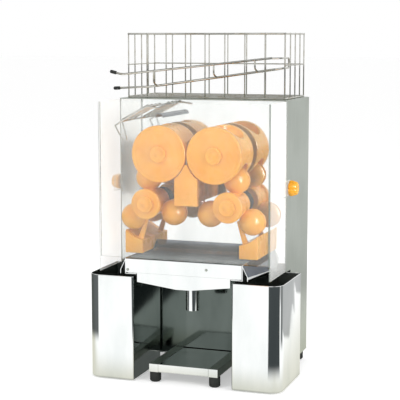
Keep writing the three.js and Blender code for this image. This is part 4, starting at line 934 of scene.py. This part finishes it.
def make_floor():
    """A pale floor that shows white to the camera, and to metal white with dark sectors and its shade."""
    bpy.ops.mesh.primitive_plane_add(size=FLOOR_SIZE, location=(0, 0, -FLOOR_DROP))
    floor = bpy.context.object
    floor.name = "studio_floor"
    board = new_finish("studio_floor")
    x, y = board.parts(board.place())[:2]
    camera, glossy, clear = board.rays()

    def polar_from(point):
        across, ahead = x - point[0], point[1] - y
        reach = (across * across + ahead * ahead) ** 0.5
        return board.maths("ARCTAN2", across, ahead) * degrees(1), reach

    dark = board.between(x, -SHADE_X, SHADE_X, SHADE_SOFT)
    dark = dark * board.between(y, -SHADE_Y, SHADE_Y, SHADE_SOFT) * SHADE_DEPTH
    for point, start, end, near, far, depth, soft in DARK_SECTORS:
        heading, reach = polar_from(point)
        sector = board.between(heading, start, end, soft) * board.between(reach, near, far, SECTOR_SOFT)
        dark |= sector * depth
    heading, reach = polar_from(SIDE_EYE)
    bearing = 180 - heading
    edge = SIDE_STEPS[0][1]
    for (first, low), (second, high) in zip(SIDE_STEPS, SIDE_STEPS[1:]):
        share = board.maths("MAXIMUM", (bearing - first) * (1 / (second - first)), 0)
        edge = edge + board.maths("MINIMUM", share, 1) * (high - low)
    grey = board.ease(reach - edge, 0, STEP_SOFT) * board.between(bearing, *SIDE_BEARINGS, SIDE_SOFT)
    grey = grey * board.ease(reach, *SIDE_CHANGE, *SIDE_DEPTHS)
    apart = board.maths("MAXIMUM", FOOT_FRONT - y, x - FOOT_SIDE)
    paper = board.mixed(board.ease(apart, CREAM_START, CREAM_END), CREAM, PAPER)
    studio = board.mixed(dark | grey, paper, INK)
    plain = board.mixed(camera | clear, BLACK, FLOOR_GLOW)
    board.finish(
        base_color=board.mixed(glossy, FLOOR_GREY, BLACK),
        roughness=0.9 + board.noise(30) * 0.08,
        emission_color=board.mixed(glossy, plain, studio),
        emission_strength=1.0,
    )
    floor.data.materials.append(finishes["studio_floor"])


CEILING, FILL = (0.05, 0.06, 0.06, 1), (0.66, 0.66, 0.66, 1)
CEILING_HEIGHTS, CEILING_DEPTH = (22, 48), 0.72
# Dark upright flags in the bright band, between two headings and how dark. The side flag is a low one
# that carries the grey on the right side on above the floor's edge.
FLAGS, FLAG_SOFT, FLAG_TOP = [(26, 52, 0.8), (-108, -74, 0.7)], 3, (60, 40)
SIDE_FLAG, SIDE_FLAG_TOP = (140, 178), (12, 6)


def make_world():
    """White to the camera, a soft fill on the rest, and to metal a bright band round a dim ceiling."""
    world = bpy.data.worlds.new("studio")
    bpy.context.scene.world = world
    board = Board(world)
    x, y, z = board.parts(board.node("TexCoord", output="Generated"))
    camera, glossy, clear = board.rays()
    heading = board.maths("ARCTAN2", x, 0 - y) * degrees(1)
    height = board.maths("ARCSINE", z) * degrees(1)
    side_flag = board.between(heading, *SIDE_FLAG, FLAG_SOFT) * board.ease(height, *SIDE_FLAG_TOP)
    flags = side_flag * SIDE_DEPTHS[1]
    for start, end, depth in FLAGS:
        flags |= board.between(heading, start, end, FLAG_SOFT) * depth
    dim = board.ease(height, *CEILING_HEIGHTS) * CEILING_DEPTH | flags * board.ease(height, *FLAG_TOP)
    studio = board.mixed(dim, WHITE, CEILING)
    seen = board.mixed(camera | clear, board.mixed(glossy, FILL, studio), WHITE)
    sky = board.node("Background", None, {"Color": seen, "Strength": 1.0})
    board.node("OutputWorld", None, {"Surface": sky})


def make_lamp(name, place, target, size, power, height=None):
    """A soft round lamp that metal doesn't show; with a height, a tall one for the amber's highlights."""
    data = bpy.data.lights.new(name, "AREA")
    data.shape = "RECTANGLE" if height else "DISK"
    data.size = size
    data.energy = power
    lamp = bpy.data.objects.new(name, data)
    lamp.location = place
    lamp.rotation_euler = (Vector(target) - Vector(place)).to_track_quat("-Z", "Y").to_euler()
    if height:
        data.size_y = height
        lamp.visible_diffuse = False
        shown = bpy.data.collections.new("amber_pieces")
        for piece in bpy.context.scene.collection.objects:
            materials = piece.data.materials if piece.type == "MESH" else []
            if materials and materials[0] == finishes["amber_plastic"]:
                shown.objects.link(piece)
        lamp.light_linking.receiver_collection = shown
    else:
        lamp.visible_glossy = False
    bpy.context.scene.collection.objects.link(lamp)


def make_camera():
    data = bpy.data.cameras.new("camera")
    data.sensor_width = SENSOR_WIDTH
    data.lens = FOCAL_PIXELS / PICTURE_PIXELS * SENSOR_WIDTH
    camera = bpy.data.objects.new("camera", data)
    camera.location = CAMERA_PLACE
    camera.rotation_euler = (radians(CAMERA_TILT), 0, radians(CAMERA_TURN))
    bpy.context.scene.collection.objects.link(camera)
    bpy.context.scene.camera = camera


make_floor()
make_world()
make_lamp("key_lamp", (-1.6, -2.6, 2.4), (0, 0, 0.4), size=1.6, power=30)
make_lamp("side_lamp", (2.8, -1.4, 1.1), (0, 0, 0.45), size=1.4, power=46)
make_lamp("back_lamp", (0.5, 2.6, 2.4), (0, 0, 0.5), size=1.6, power=18)
make_lamp("strip_lamp", (1.89, -1.48, 1.0), (0, -0.1, 0.45), size=0.5, power=140, height=1.9)
make_camera()
bpy.context.scene.view_settings.view_transform = "Standard"
